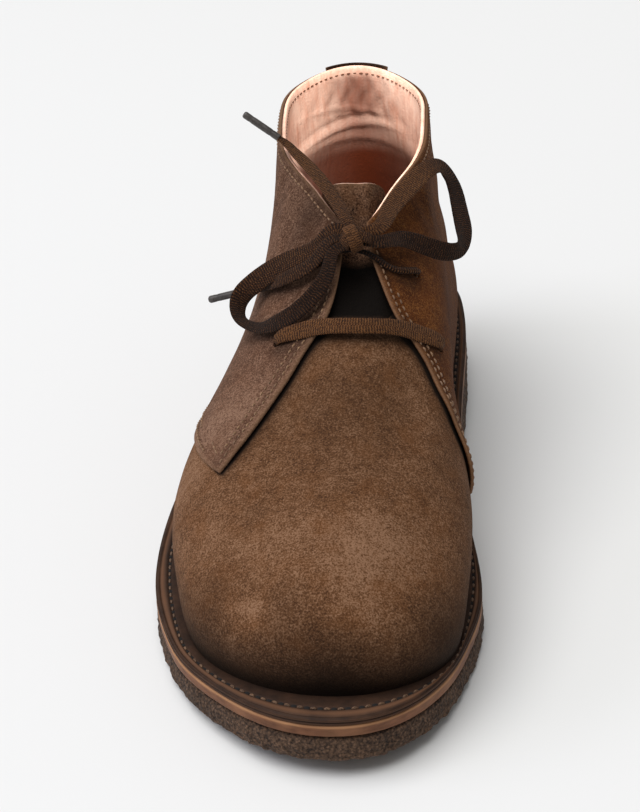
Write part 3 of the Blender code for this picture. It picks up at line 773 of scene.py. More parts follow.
STUDIO_BOARD = Finish("studio_board")  # matte painted board, one even pale colour
VAMP_SUEDE = Suede("buffed_suede_vamp")
# The quarters' copies of the suede differ as light falls on them: the medial one darker and warmer,
# painted shade on the side away from the light; the lateral one greyer with a paler pale, painted
# light of the lit side.
LIT_LATERAL_SUEDE = Suede("lit_suede_lateral", base="#5c4031", pale="#8a6a56", warm="#603d28")
SHADED_MEDIAL_SUEDE = Suede("shaded_suede_medial", base="#532b0f", pale="#7c4f26", deep="#371a07",
                     warm="#64330a")
STAY_SUEDE = Suede("buffed_suede_backstay", base="#38251a", pale="#5c4231", deep="#170d08")
# The tongue's deep and shade colours are near black: painted shadow for the gap under the knot.
TONGUE_SUEDE = Suede("buffed_suede_tongue", base="#5d4130", pale="#82624b", deep="#080403",
                      painted_shade="#090503")
LINING = Leather("glazed_lining_leather", 0.55, wrinkle_mm=2.6, drape=5.0, depth_mm=0.16)
SOCK = Leather("sock_leather", 0.6, base="#7a4227", deep="#4d2412", stain="#32150a")
WELT_WAX = EdgedBoard("waxed_welt_leather", 0.75, base="#3a2518", deep="#1d110a",
                      pale="#694832", line_mm=0.7)
MIDSOLE_TAN = EdgedBoard("sanded_tan_midsole", 0.6)
CREPE = Crepe("crinkled_crepe_rubber", 0.85)
BRAID = FlatBraid("flat_braided_lace", 0.85)
THREAD = Thread("waxed_thread", 0.55, base="#a07c5a", deep="#5b3f2a")
WELT_THREAD = Thread("waxed_welt_thread", 0.5, base="#80624a", deep="#3f2b1d")
# near-black discs: painted shade inside the welt's needle holes
HOLE_SHADE = Thread("painted_needle_hole_shade", 0.9, base="#120a06", deep="#080403")
LINING_THREAD = Thread("waxed_lining_thread", 0.55, base="#bd8a6c", deep="#8f6045")
DARK_THREAD = Thread("waxed_dark_thread", 0.6, base="#3a291f", deep="#1d130d")
TIP = TipPlastic("acetate_tip", 0.4)


# ---- the last and the outline of the sole ----


@dataclass(frozen=True)
class Outline:
    """The sole's outline and the heights of its layers."""

    length: float = 300.0
    heel_y: float = 150.0
    heel_round: float = 0.5
    toe_round: float = 0.47
    stack: float = 16.5

    def half_and_middle(self, share: Array) -> tuple[Array, Array]:
        """Half width and middle line at shares of the length: a class curve, the share to the
        power heel_round times the rest to the power toe_round, times a smooth cubic.
        """
        knots, widths = SOLE["share"][1:-1], SOLE["half"][1:-1]
        scale = widths / (knots ** self.heel_round * (1 - knots) ** self.toe_round)
        smooth = spline(np.r_[0.0, knots, 1.0], np.r_[scale[0], scale, scale[-1]], share)
        half = share ** self.heel_round * (1 - share) ** self.toe_round * smooth
        return half, spline(SOLE["share"], SOLE["middle"], share)

    def shift(self) -> float:
        """x halfway between the sole's widest points, which the frame's origin lies under."""
        half, middle = self.half_and_middle(np.linspace(0, 1, 2001))
        return ((middle - half).min() + (middle + half).max()) / 2

    def edge(self, turn: Array) -> Array:
        """x and y of the outline at angles round it, 0 at the heel, in metres."""
        share = (1 - np.cos(turn)) / 2
        half, middle = self.half_and_middle(share)
        x = middle + np.sign(np.sin(turn)) * half - self.shift()
        return np.stack([x, self.heel_y - self.length * share], -1) * MM

    def bed(self, y: Array) -> Array:
        """Height of the welt's top at y, in metres."""
        return spline(BED["y"], BED["z"], np.ravel(y) / MM).reshape(np.shape(y)) * MM

    def floor(self, y: Array) -> Array:
        """Underside of the crepe plate: bed less the stack, and never under the floor."""
        return np.maximum(self.bed(y) - self.stack * MM, 0)


def inset(loop: Array, distance: float) -> Array:
    """A closed loop of x and y moved inwards along its own normals by a distance in mm."""
    along = unit(np.roll(loop, -1, axis=0) - np.roll(loop, 1, axis=0))
    side = np.stack([-along[:, 1], along[:, 0]], -1)
    side *= np.sign(np.sum(side * (loop.mean(axis=0) - loop)))
    return loop + side * distance * MM


@dataclass(frozen=True)
class Last:
    """The form of the upper, with the creases that a worn boot keeps."""

    outline: Outline
    arch_peak: float = 6.75
    high_line_v: float = 0.55
    small: float = 1e-3

    def middle_line(self, y: Array, v: Array) -> Array:
        """x of the middle line: the low table's, turning to the high table's by the smooth step."""
        share = smooth_step(v / self.high_line_v)
        low = spline(LOW_LINE["y"], LOW_LINE["x"], y)
        return low * (1 - share) + spline(HIGH_LINE["y"], HIGH_LINE["x"], y) * share

    def point(self, u: Array, v: Array) -> Array:
        """Points of the smooth form, in metres: along the ring at v, the share of its length is
        (1 - cos u) / 2, the half width is the root of the share times the rest to the power
        nose times a smooth cubic, and the height is a straight line with an arch on it.
        """
        u, v = np.broadcast_arrays(np.asarray(u, float), np.asarray(v, float))
        shape, u, v = u.shape, u.ravel(), v.ravel()
        share = (1 - np.cos(u)) / 2
        ring = {name: spline(RINGS["v"], RINGS[name], v) for name in RINGS if name != "v"}
        y = ring["back_y"] + (ring["front_y"] - ring["back_y"]) * share
        z = ring["back_z"] + (ring["front_z"] - ring["back_z"]) * share
        z = z + ring["arch"] * self.arch_peak * share ** 2 * (1 - share)
        first = {name: RINGS[name][0] for name in ("back_y", "front_y", "back_z", "front_z")}
        straight = first["back_z"] + (first["front_z"] - first["back_z"]) * (
            (first["back_y"] - y) / (first["back_y"] - first["front_y"]))
        z = z + (self.outline.bed(y * MM) / MM - straight) * np.clip(1 - v / 0.35, 0, 1) ** 1.5
        x = self.middle_line(y, v)
        x = x + (ring["front_x"] - self.middle_line(ring["front_y"], v)) * share ** 3
        x = x + (ring["back_x"] - self.middle_line(ring["back_y"], v)) * (1 - share) ** 3
        scales = [spline(RINGS["v"], RINGS[f"w{k}"] / (at ** 0.5 * (1 - at) ** RINGS["nose"]), v)
                  for k, at in enumerate(RING_SHARES, start=1)]
        scales = np.array([scales[0], *scales, scales[-1]])
        smooth = spline(np.r_[0.0, RING_SHARES, 1.0], scales, share, paired=True)
        half = share ** 0.5 * (1 - share) ** ring["nose"] * smooth
        x = x + np.where(np.sin(u) >= 0, 1, -1) * half - self.outline.shift()
        return np.stack([x, y, z], -1).reshape(*shape, 3) * MM

    def normal(self, u: Array, v: Array) -> Array:
        """Unit normals of the smooth form, away from the foot: the cross product of its two
        differences.
        """
        along = self.point(u + self.small, v) - self.point(u - self.small, v)
        up = self.point(u, v + self.small) - self.point(u, v - self.small)
        return unit(np.cross(up, along))

    def crease(self, points: Array) -> Array:
        """Depth of the creases at points: each is a line on the form, and lowers the leather by
        its depth times exp(-(distance / width)^2), with a low ridge on both sides.
        """
        flat = points.reshape(-1, 3)
        total = np.zeros(len(flat))
        for u0, v0, u1, v1, width, depth in zip(*CREASES.values()):
            end = u1 - 360 if u1 - u0 > 200 else u1
            line = self.point(np.radians(np.linspace(u0, end, 15)), np.linspace(v0, v1, 15))
            reach = 3.2 * width * MM
            near = np.all((flat > line.min(0) - reach) & (flat < line.max(0) + reach), axis=1)
            if not near.any():
                continue
            distance, share = to_line(flat[near], line)
            pick = distance.argmin(axis=1)
            best = distance[np.arange(len(pick)), pick] / (width * MM)
            place = (pick + share[np.arange(len(pick)), pick]) / share.shape[1]
            fade = np.sin(np.pi * np.clip(place, 0.02, 0.98)) ** 0.6
            total[near] -= depth * fade * (
                bell(best) - 0.4 * bell((best - 1.6) / 0.7))
        return total.reshape(points.shape[:-1]) * MM

    def skin(self, u: Array, v: Array) -> tuple[Array, Array]:
        """Points of the creased form and its normals, with a slow waviness of the leather."""
        points, normals = self.point(u, v), self.normal(u, v)
        wave = 0.22 * lattice_noise(points, 26 * MM, 3) + 0.10 * lattice_noise(points, 11 * MM, 5)
        height = self.crease(points) + wave * MM * smooth_step(np.asarray(v) / 0.12)
        return points + normals * height[..., None], normals

    def seat(self, points: Array, v: Array) -> Array:
        """Sink the lowest row into the welt's top."""
        low = np.broadcast_to(v, points.shape[:2]) == 0
        points[low, 2] = self.outline.bed(points[low, 1]) - 0.3 * MM
        return points


OUTLINE = Outline()
LAST = Last(OUTLINE)


class Side(Enum):
    """A side of the boot: the sign of x and of the angle, and its quarter's front edge."""

    LATERAL = -1
    MEDIAL = 1

    @property
    def corner_v(self) -> float:
        """Height of the quarter's front corner."""
        return 0.31 if self is Side.LATERAL else 0.12

    def front_edge(self, v: Array) -> Array:
        """Angle of the quarter's front edge, in degrees without sign: straight stretches back to
        the welt under the corner, a smooth cubic to the collar over it.
        """
        if self is Side.LATERAL:
            low = table("v u", "0 78, .1 84, .2 98, .26 113, .31 130.5")
            high = table("v u", """
                .31 130.5, .41 134.8, .49 138.4, .56 142.6, .615 146.8, .7 156.4, .8 162.5,
                .9 164.5, 1 162""")
        else:
            low = table("v u", "0 76, .05 88, .09 98, .12 108")
            high = table("v u", """
                .12 108, .2 109.8, .31 113.4, .43 121.5, .535 130.1, .616 138.8, .7 149.6,
                .8 158, .9 163, 1 162""")
        v = np.asarray(v, float)
        return np.where(v < self.corner_v, np.interp(v, low["v"], low["u"]),
                        spline(high["v"], high["u"], np.ravel(v)).reshape(v.shape))


def tone_of(points: Array, marks: Columns) -> Array:
    """Paler and darker places: the sum of amount times exp(-(distance / radius)^2)."""
    centres = LAST.point(np.radians(marks["u"]), marks["v"])
    gap = np.linalg.norm(points[..., None, :] - centres, axis=-1) / (marks["radius"] * MM)
    return (1.2 * marks["amount"] * bell(gap)).sum(-1)


def painted_lace_shadow(points: Array) -> Array:
    """Painted shadow of the lace on the leather near it: 0.75 times exp(-((distance - 2.6) /
    3)^1.3), with the distance in mm to the nearest route, or to the knot's middle less 3 mm.
    """
    flat = points.reshape(-1, 3)
    near = np.linalg.norm(flat - np.array(KNOT_CENTRE) * MM, axis=1) / MM - 3.0
    for route in (BAR_LOWER, BAR_UPPER, LOOP_LATERAL, LOOP_MEDIAL, END_UPPER, END_LATERAL):
        near = np.minimum(near, to_line(flat, route * MM)[0].min(1) / MM)
    shade = 0.75 * np.exp(-(np.clip(near - 2.6, 0, None) / 3.0) ** 1.3)
    return shade.reshape(points.shape[:-1])


# ---- sewn rows ----


@dataclass(frozen=True)
class StitchRow:
    """A row of stitches: pitch, length, width and how far each bows up, in mm."""

    pitch: float = 2.7
    length: float = 1.9
    width: float = 0.7
    bow: float = 0.22
    sink: float = 0.05

    def lay(self, path: Array, normals: Array) -> tuple[Array, Faces]:
        """Stitches along a path.

        Args:
            path: points on the leather.
            normals: the leather's normals there.
        Returns:
            Points and faces of all stitches.
        """
        placed = walk(np.concatenate([path, normals], axis=1), self.pitch * MM)
        centre, normal = placed[:, :3], unit(placed[:, 3:])
        along = unit(np.gradient(centre, axis=0))
        side = np.cross(normal, along)
        half = np.array([self.length, self.width, self.width]) * MM / 2
        frames = np.stack([along * half[0], side * half[1], normal * half[2]], axis=1)
        return scatter(capsule(), centre + normal * -self.sink * MM, frames, self.bow * MM)


def join(parts: list[tuple[Array, Faces]]) -> tuple[Array, Faces]:
    """Several sets of points and faces as one."""
    shift = np.cumsum([0] + [len(points) for points, _ in parts[:-1]])
    tris = [f.tris + s for (_, f), s in zip(parts, shift) if f.tris is not None]
    return (np.concatenate([points for points, _ in parts]),
            Faces(np.concatenate([f.quads + s for (_, f), s in zip(parts, shift)]),
                  np.concatenate(tris) if tris else None))


# ---- the upper ----


COLLAR_MM = 92.0  # from the welt to the collar at the side
EDGE_STEPS = np.array([3.2, 2.4, 1.7, 1.15, 0.75, 0.45, 0.2, 0.0])


@dataclass
class Quarter:
    """One quarter of the upper, from the heel seam to the facing, with its rows of stitches."""

    side: Side
    finish: Suede
    marks: Columns
    slot: str = "suede"
    low: float = -0.3
    thick: float = 1.3
    edge_round: float = 0.9
    lift: float = 0.75
    rows: int = 104
    columns: int = 150
    seam: float = 0.2

    def edge_metric(self, v: Array) -> tuple[Array, Array]:
        """Metres per radian along the row at the front edge, and the sine of the angle between
        the row and the edge.
        """
        u = np.radians(self.side.front_edge(v))
        row = LAST.point(u + 1e-3, v) - LAST.point(u - 1e-3, v)
        ends = [LAST.point(np.radians(self.side.front_edge(at)), at)
                for at in (np.clip(v - 0.012, 0, 1), np.clip(v + 0.012, 0, 1))]
        edge = unit(ends[1] - ends[0])
        speed = np.linalg.norm(row, axis=-1) / 2e-3
        return speed, np.linalg.norm(np.cross(unit(row), edge), axis=-1)

    def grid(self) -> tuple[Array, Array, Array, Array]:
        """Angles and heights of the grid, finer towards the collar and the front edge, with each
        point's distance from the front edge and from the collar in mm.
        """
        side = LAST.point(np.radians([90.0, 90.0]), [1.0, 0.95])
        rise = np.linalg.norm(side[0] - side[1]) / 0.05 / MM
        v = np.unique(np.r_[np.linspace(0, 1 - EDGE_STEPS[0] / rise, self.rows), self.side.corner_v,
                            1 - EDGE_STEPS / rise])
        edge = np.radians(self.side.front_edge(v))
        speed, slant = self.edge_metric(v)
        steps = EDGE_STEPS[None] * MM / (speed * slant)[:, None]
        inner = edge - steps[:, 0]
        u = np.concatenate([inner[:, None] * np.linspace(0, 1, self.columns)[None, :-1],
                            edge[:, None] - steps], axis=1)
        front = (edge[:, None] - u) * (speed * slant)[:, None] / MM
        top = np.broadcast_to((1 - v)[:, None] * rise, u.shape)
        return u, np.broadcast_to(v[:, None], u.shape), front, top

    def raise_edge(self, v: Array, front: Array) -> Array:
        """Lift of the loose front edge off the vamp, in mm: it dies out over 5 mm."""
        free = smooth_step((v - self.side.corner_v + 0.01) / 0.07) * smooth_step((1.02 - v) / 0.2)
        return self.lift * free * np.exp(-np.clip(front, 0, None) / 5.0)

    def surface(self, u: Array, v: Array, front: Array, height: Array) -> Array:
        """Points of the leather at a height over the last."""
        points, normals = LAST.skin(u * self.side.value, v)
        return raised(points, normals, height + self.raise_edge(v, front))

    def build(self) -> bpy.types.Object:
        """Make the leather: flat underside, and an outer side that rounds off at the edges by a
        quarter of an ellipse.
        """
        u, v, front, top = self.grid()
        border = np.minimum(front, top)
        near = np.clip(border / self.edge_round, 0, 1)
        body = 0.45 + 0.55 * np.sqrt(1 - (1 - near) ** 2)
        outer, inner = (self.surface(u, v, front, self.low + self.thick * share)
                        for share in (body, 0 * body))
        for face in (outer, inner):
            LAST.seat(face, v)
            face[:, 0, 0] += self.side.value * self.seam * MM
        # The marks, darker towards the welt, less the painted shadow of the lace.
        tone = tone_of(outer, self.marks) - 0.35 * np.exp(-v * 100 / 7.0) - painted_lace_shadow(outer)
        # Painted shade along a sunk groove beside the front edge.
        tone -= 0.45 * bell((front - 2.6) / 0.7) * (v < 0.98)
        edge = 0.75 * np.exp(-border / 0.45) + 0.10 * bell((front - 1.0) / 0.5)
        side = self.side.name.lower()
        return cover(f"quarter_suede_{side}", (outer, inner), self.finish,
                     {"tone": (tone, tone - 0.4), "edge": (edge, 0 * edge)}, self.slot,
                     f"quarter_{side}")

    def line(self, distance: float, v: Array) -> tuple[Array, Array]:
        """Points and normals on the leather at a distance from its front edge, in mm."""
        speed, slant = self.edge_metric(v)
        u = np.radians(self.side.front_edge(v)) - distance * MM / (speed * slant)
        points, normals = LAST.skin(u * self.side.value, v)
        front = np.full_like(u, distance)
        height = self.low + self.thick + self.raise_edge(v, front)
        return raised(points, normals, height), normals

    def collar_line(self, distance: float) -> tuple[Array, Array]:
        """Points and normals under the collar edge, from the backstay to the facing."""
        v = np.full(160, 1 - distance / COLLAR_MM)
        u = np.linspace(math.radians(23), np.radians(self.side.front_edge(v[:1]))[0] - 0.10, 160)
        points, normals = LAST.skin(u * self.side.value, v)
        return raised(points, normals, self.low + self.thick), normals

    def sew(self) -> bpy.types.Object:
        """Rows of stitches along the front edge, doubled to the throat, and under the collar."""
        row = StitchRow()
        corner = self.side.corner_v
        stretches = [(2.0, corner + 0.01, 0.975), (4.3, corner + 0.02, 0.74),
                     (2.2, 0.02, corner - 0.01), (4.5, 0.02, corner - 0.02)]
        parts = [row.lay(*self.line(d, np.linspace(a, b, 220))) for d, a, b in stretches]
        parts.append(row.lay(*self.collar_line(3.0)))
        across = self.line(np.linspace(6.2, 12.5, 80), np.full(80, corner + 0.015))
        parts.append(row.lay(*across))
        return make_piece(f"quarter_stitches_{self.side.name.lower()}", *join(parts), THREAD,
                          slot=self.slot)


@dataclass
class Vamp:
    """The front of the upper, from under one quarter round the toe to under the other."""

    finish: Suede = VAMP_SUEDE
    slot: str = "suede"
    high: float = -0.6
    thick: float = 0.75
    throat_v: float = 0.70
    under: float = 12.0
    shadow: float = 1.6
    shadow_reach: float = 1.8
    rows: int = 104
    columns: int = 240

    def build(self) -> bpy.types.Object:
        """Make the vamp: at each v the angle runs from one hidden side edge to the other."""
        v = np.linspace(0, self.throat_v, self.rows)
        share = np.linspace(-1, 1, self.columns)
        ends = [180 - (side.front_edge(v) - self.under) for side in (Side.MEDIAL, Side.LATERAL)]
        turn = np.where(share < 0, ends[0][:, None] * share, ends[1][:, None] * share)
        u = np.radians(180 + turn)
        v = np.broadcast_to(v[:, None], u.shape)
        base, normals = LAST.skin(u, v)
        outer, inner = (LAST.seat(raised(base, normals, height), v)
                        for height in (self.high, self.high - self.thick))
        rise = (outer[..., 2] - OUTLINE.bed(outer[..., 1])) / MM
        toe = smooth_step((-outer[..., 1] / MM - 40) / 75)
        # The marks, less the painted shadow of the lace.
        tone = tone_of(outer, VAMP_MARKS) - 1.3 * painted_lace_shadow(outer)
        # Darker low on the toe, most at its front: painted shade where the toe turns from the light
        # above, with some darker burnish.
        tone -= (0.30 + 0.95 * toe) * np.exp(-(np.clip(rise, 0, None) / (6 + 15 * toe)) ** 1.5)
        speed = np.linalg.norm(np.gradient(outer, axis=1), axis=-1) / np.abs(np.gradient(u, axis=1))
        for side, sign in ((Side.MEDIAL, -1), (Side.LATERAL, 1)):
            past = (np.radians(180 - side.front_edge(v)) - sign * (u - np.pi)) * speed / MM
            reach = np.exp(-np.clip(past, 0, None) / self.shadow_reach)
            tone -= self.shadow * reach * (v > side.corner_v - 0.01)
        return cover("vamp_suede", (outer, inner), self.finish, {"tone": tone, "edge": 0 * tone},
                     self.slot, "upper")


@dataclass
class Lining:
    """The lining leather inside the whole upper, with its pale edge at the collar."""

    finish: Leather = LINING
    slot: str = "lining"
    inner: float = -2.1
    under_vamp: float = -1.45
    under_quarter: float = -0.4
    throat_v: float = 0.70
    over_collar: float = 0.5
    rows: int = 84
    back_columns: int = 95
    front_columns: int = 30

    def columns(self, side: Side, v: Array) -> Array:
        """Angles of one side's columns: the heel to the facing's edge, then on to the toe."""
        edge = side.front_edge(v) - 4.5
        back = edge[:, None] * np.linspace(0, 1, self.back_columns)
        front = edge[:, None] + (180 - edge[:, None]) * np.linspace(0, 1, self.front_columns)[1:]
        return np.concatenate([back, front], axis=1)

    def build(self) -> bpy.types.Object:
        """Make the lining: a ring open over the throat, with the folds at the heel as ripples
        cos(angle) that fade by exp(-x^2) away from the back, and a rounded top edge.
        """
        v = np.unique(np.r_[np.linspace(0, 0.97, self.rows), self.throat_v,
                            0.985, 0.993, 0.998, 1.0])
        medial, lateral = (self.columns(side, v) for side in (Side.MEDIAL, Side.LATERAL))
        u = np.radians(np.concatenate([medial, -lateral[:, -2:0:-1]], axis=1))
        v = np.broadcast_to(v[:, None], u.shape)
        base, normals = LAST.skin(u, v)
        turn = np.degrees(np.arctan2(np.sin(u), np.cos(u)))
        back = bell(turn / 30)
        fine = np.cos(np.radians(turn * 27 + 60 * np.sin(v * 40))) * bell((v - 0.86) / 0.10)
        broad = np.cos(np.radians(turn * 14)) * bell((v - 0.80) / 0.12)
        ripple = (0.62 * fine + 0.24 * broad) * back
        fold = bell((turn + 8) / 30) * (
            0.9 * bell((v - 0.725 - turn * 6e-4) / 0.012)
            - 0.7 * bell((v - 0.765 - turn * 6e-4) / 0.010)
            + 0.5 * bell((v - 0.80 + turn * 9e-4) / 0.009)
            + 0.6 * bell((v - 0.66 + turn * 3e-4) / 0.02))
        crest = np.sqrt(1 - np.clip((v - 0.982) / 0.018, 0, 1) ** 2)
        thick_top = smooth_step((v - self.throat_v + 0.01) / 0.02)
        vamp_side = np.where(turn > 0, Side.MEDIAL.front_edge(v),
                             Side.LATERAL.front_edge(v)) - 14
        covered = np.where(np.abs(turn) > vamp_side, 1 - thick_top, 0)
        high = self.under_quarter + (self.under_vamp - self.under_quarter) * covered
        middle = (high + self.inner) / 2
        inner, outer = (LAST.seat(raised(base, normals, middle + depth), v) for depth in (
            (self.inner - middle) * crest - ripple - fold, (high - middle) * crest))
        for face in (inner, outer):
            face[..., 2] += self.over_collar * MM * smooth_step((v - 0.97) / 0.03)
        keep = np.ones((len(u) - 1, u.shape[1]), dtype=bool)
        throat = np.arange(self.back_columns - 1, u.shape[1] - self.back_columns + 1)
        keep[np.ix_(v[:-1, 0] >= self.throat_v - 1e-6, throat)] = False
        # Painted shade: the heel wall, the lower shaft and the fold at the heel are darker, as
        # little light reaches them; then a darker lip along the collar, more on the lateral side,
        # and dark front edges.
        stain = 0.55 * back * smooth_step((v - 0.60) / 0.1) * smooth_step((0.985 - v) / 0.05)
        stain = (stain + (0.6 + 0.4 * bell(turn / 60)) * smooth_step((0.745 - v) / 0.17)
                 + 0.25 * bell((v - 0.725) / 0.03) * back)
        stain = (stain * smooth_step((0.985 - v) / 0.02)
                 + 0.30 * bell(turn / 24) * smooth_step((v - 0.74) / 0.06))
        lip = (0.32 + 0.3 * smooth_step((-turn - 60) / 40)) * smooth_step((v - 0.985) / 0.01)
        stain = np.maximum(stain, lip)
        rim = np.zeros_like(stain)
        rim[:, self.back_columns - 3:self.back_columns + 2] = 1
        rim[:, -self.back_columns:-self.back_columns + 5] = 1
        stain = np.maximum(stain, 0.95 * rim * smooth_step((v - 0.55) / 0.1))
        return cover("lining_leather", (outer, inner), self.finish,
                     {"stain": np.clip(stain, 0, 1)}, self.slot, "upper", keep)

    def sew(self) -> bpy.types.Object:
        """The row of stitches that shows inside, under the collar's edge."""
        u = np.radians(np.linspace(-96, 96, 400))
        points, normals = LAST.skin(u, np.full(400, 1 - 3.4 / COLLAR_MM))
        path = raised(points, normals, self.inner) + np.array([0, 0, self.over_collar * MM])
        row = StitchRow(pitch=2.5, length=1.5, width=0.6, bow=0.12)
        return make_piece("lining_stitches", *row.lay(path, -normals), LINING_THREAD,
                          slot=self.slot)


@dataclass
class Backstay:
    """The strip over the heel seam, stitched down both sides and a little proud of the collar."""

    finish: Suede = STAY_SUEDE
    slot: str = "suede_dark"
    low: float = 1.3
    thick: float = 1.2
    proud: float = 0.8
    proud_from: float = 0.9
    rows: int = 110
    columns: int = 44

    def edge(self, v: Array) -> Array:
        """Angle of the strip's sides, in radians."""
        angle = spline(BACKSTAY_EDGE["v"], BACKSTAY_EDGE["u"], np.ravel(v))
        return np.radians(angle.reshape(np.shape(v)))

    def rise(self, v: Array) -> Array:
        """How far the strip stands up over the collar, in metres."""
        return self.proud * MM * smooth_step((v - self.proud_from) / (1 - self.proud_from))

    def build(self) -> bpy.types.Object:
        """Make the strip: its outer side falls by a quarter of an ellipse at its edges."""
        v = np.linspace(0, 1, self.rows)
        share = np.sin(np.linspace(-np.pi / 2, np.pi / 2, self.columns))
        u = self.edge(v)[:, None] * share
        v = np.broadcast_to(v[:, None], u.shape)
        base, normals = LAST.skin(u, v)
        near = np.clip((1 - np.abs(share)) * 10 / 0.9, 0, 1)
        body = np.minimum(0.4 + 0.6 * np.sqrt(1 - (1 - near) ** 2), 1)
        outer, inner = (LAST.seat(raised(base, normals, self.low + self.thick * share), v)
                        for share in (body, 0.0))
        for face in (outer, inner):
            face[..., 2] += self.rise(v)
        tone = 0.25 * lattice_noise(outer, 18 * MM, 9) - 0.3 * np.exp(-v * 100 / 8)
        edge = 0.6 * np.exp(-(1 - np.abs(share)) * 10 / 0.6) * np.ones_like(v)
        return cover("backstay_suede", (outer, inner), self.finish, {"tone": tone, "edge": edge},
                     self.slot, "backstay")

    def sew(self) -> bpy.types.Object:
        """One row of stitches inside each side, and one across the top."""
        parts = []
        v = np.linspace(0.03, 0.99, 240)
        for sign in (-1, 1):
            u = sign * (self.edge(v) - math.radians(2.6))
            base, normals = LAST.skin(u, v)
            path = raised(base, normals, self.low + self.thick)
            path[:, 2] += self.rise(v)
            parts.append(StitchRow().lay(path, normals))
        u = np.linspace(-0.27, 0.27, 60)
        base, normals = LAST.skin(u, np.full(60, 0.90))
        parts.append(StitchRow().lay(raised(base, normals, self.low + self.thick), normals))
        return make_piece("backstay_stitches", *join(parts), DARK_THREAD, slot=self.slot)


@dataclass
class Tongue:
    """The tongue: suede outside, lining leather inside, whose edge shows at the top."""

    depth: float = 2.9
    suede: float = 1.15
    lining: float = 0.65
    inner_edge: float = 158.0
    top_reach: float = 20.5
    corner: float = 2.5
    top: tuple[float, float, float] = (0.0, 0.49, 0.87)
    dip: float = 1.6

    def grid(self, depth: float, extra: float = 0.0) -> Array:
        """Points of the tongue at a depth under the last: across it, a smooth cubic runs through
        three points of each side and the middle; over the collar it rises on to a level edge.

        Args:
            depth: how far under the last, in mm.
            extra: how much further the top reaches, in mm.
        Returns:
            A grid of points.
        """
        knots = np.arange(-3.0, 4.0)
        across = np.linspace(-3, 3, 61)
        v = np.linspace(0.60, 1.0, 46)
        edge = np.interp(v, TONGUE_EDGES["v"], TONGUE_EDGES["u"])
        angles = np.linspace(edge, np.full_like(edge, self.inner_edge), 3, axis=-1)
        u = np.radians(np.concatenate([-angles, np.full((len(v), 1), 180.0), angles[:, ::-1]],
                                      axis=1))
        height = np.broadcast_to(v[:, None], u.shape)
        normals = LAST.normal(u, height)
        points = LAST.point(u, height) - normals * depth * MM
        bent = smooth_step((v - 0.72) / 0.28)
        points[:, 3] -= normals[:, 3] * (self.dip + 3.2 * bent)[:, None] * MM
        points[:, [2, 4]] -= normals[:, [2, 4]] * 0.8 * bent[:, None, None] * MM
        body = spline(knots, points.transpose(1, 0, 2).reshape(7, -1), across)
        body = body.reshape(61, len(v), 3).transpose(1, 0, 2)
        high = body[-1] @ np.array(self.top) / MM
        rise = self.top_reach + extra + high[30] - high - self.corner * np.abs(across / 3) ** 8
        share = np.r_[np.linspace(0, 1, 17)[1:-1], 0.97, 1.0]
        above = body[-1] + share[:, None, None] * rise[None, :, None] * np.array(self.top) * MM
        return np.concatenate([body, above])

    def build(self) -> None:
        """Make the suede, with painted shadow low on it under the knot, and the lining behind it.
        """
        outer = self.grid(self.depth)
        middle = self.grid(self.depth + self.suede)
        place = np.broadcast_to(np.arange(len(outer))[:, None], outer.shape[:2])
        # Painted shadow under the knot: the tongue turns near black below a line across it, a
        # little less at its lowest part.
        low = outer[..., 1] + 0.9 * outer[..., 2]
        shade = 0.25 + 0.75 * smooth_step((low - 60 * MM) / (15 * MM))
        tone = -1.7 * smooth_step((106 * MM - low) / (14 * MM)) * shade
        tone += 0.12 * lattice_noise(outer, 12 * MM, 12)
        edge = 0.5 * np.exp(-(len(outer) - 1 - place) / 1.2)
        cover("tongue_suede", (outer, middle), TONGUE_SUEDE, {"tone": tone, "edge": edge},
              "suede", "tongue")
        near = self.grid(self.depth + self.suede + 0.05, 0.9)
        far = self.grid(self.depth + self.suede + self.lining, 0.9)
        cover("tongue_lining", (near, far), LINING, {"stain": np.full(near.shape[:2], 0.12)},
              "lining", "tongue")


@dataclass
class Eyelets:
    """Four punched holes for the lace, through the quarters and what lies under them."""

    radius: float = 1.9
    places: tuple[tuple[float, float], ...] = ((-131.7, 0.583), (120.2, 0.527), (130.1, 0.733),
                                               (-130.9, 0.756))

    def axes(self) -> tuple[Array, Array]:
        """Centre and direction of each hole."""
        u, v = np.radians([p[0] for p in self.places]), np.array([p[1] for p in self.places])
        return LAST.skin(u, v)

    def punch(self, pieces: list[bpy.types.Object]) -> None:
        """Cut round holes along the leather's normals, and keep the cut meshes.

        Args:
            pieces: the leather pieces to cut.
        """
        centres, normals = self.axes()
        turn = circle(20)
        side = unit(np.cross(normals, [0, 0, 1.0]))
        up = np.cross(normals, side)
        ring = np.cos(turn)[:, None] * side[:, None] + np.sin(turn)[:, None] * up[:, None]
        ring *= self.radius * MM
        ends = np.stack([centres[:, None] + ring + normals[:, None] * h * MM
                         for h in (-4.5, 4.5)], axis=1)
        count = len(turn)
        quads = grid_quads(2, count, True)
        shift = np.arange(len(centres)) * 2 * count
        mesh = bpy.data.meshes.new("punch")
        lids = [list(range(s, s + count)) for s in shift]
        lids += [list(range(s + 2 * count - 1, s + count - 1, -1)) for s in shift]
        sides = np.concatenate([quads + s for s in shift]).tolist()
        mesh.from_pydata(ends.reshape(-1, 3).tolist(), [], sides + lids)
        face_out(mesh)
        cutter = hang("punch", mesh)
        for piece in pieces:
            cut = piece.modifiers.new("holes", "BOOLEAN")
            cut.operation, cut.object, cut.solver = "DIFFERENCE", cutter, "EXACT"
            graph = bpy.context.evaluated_depsgraph_get()
            done = bpy.data.meshes.new_from_object(piece.evaluated_get(graph))
            old = piece.data
            piece.modifiers.clear()
            piece.data = done
            bpy.data.meshes.remove(old)
            done.name = piece.name
            LOG.info("%s: holes punched, %d faces", piece.name, len(done.polygons))
        bpy.data.objects.remove(cutter, do_unlink=True)
        bpy.data.meshes.remove(mesh)


# ---- the sole ----


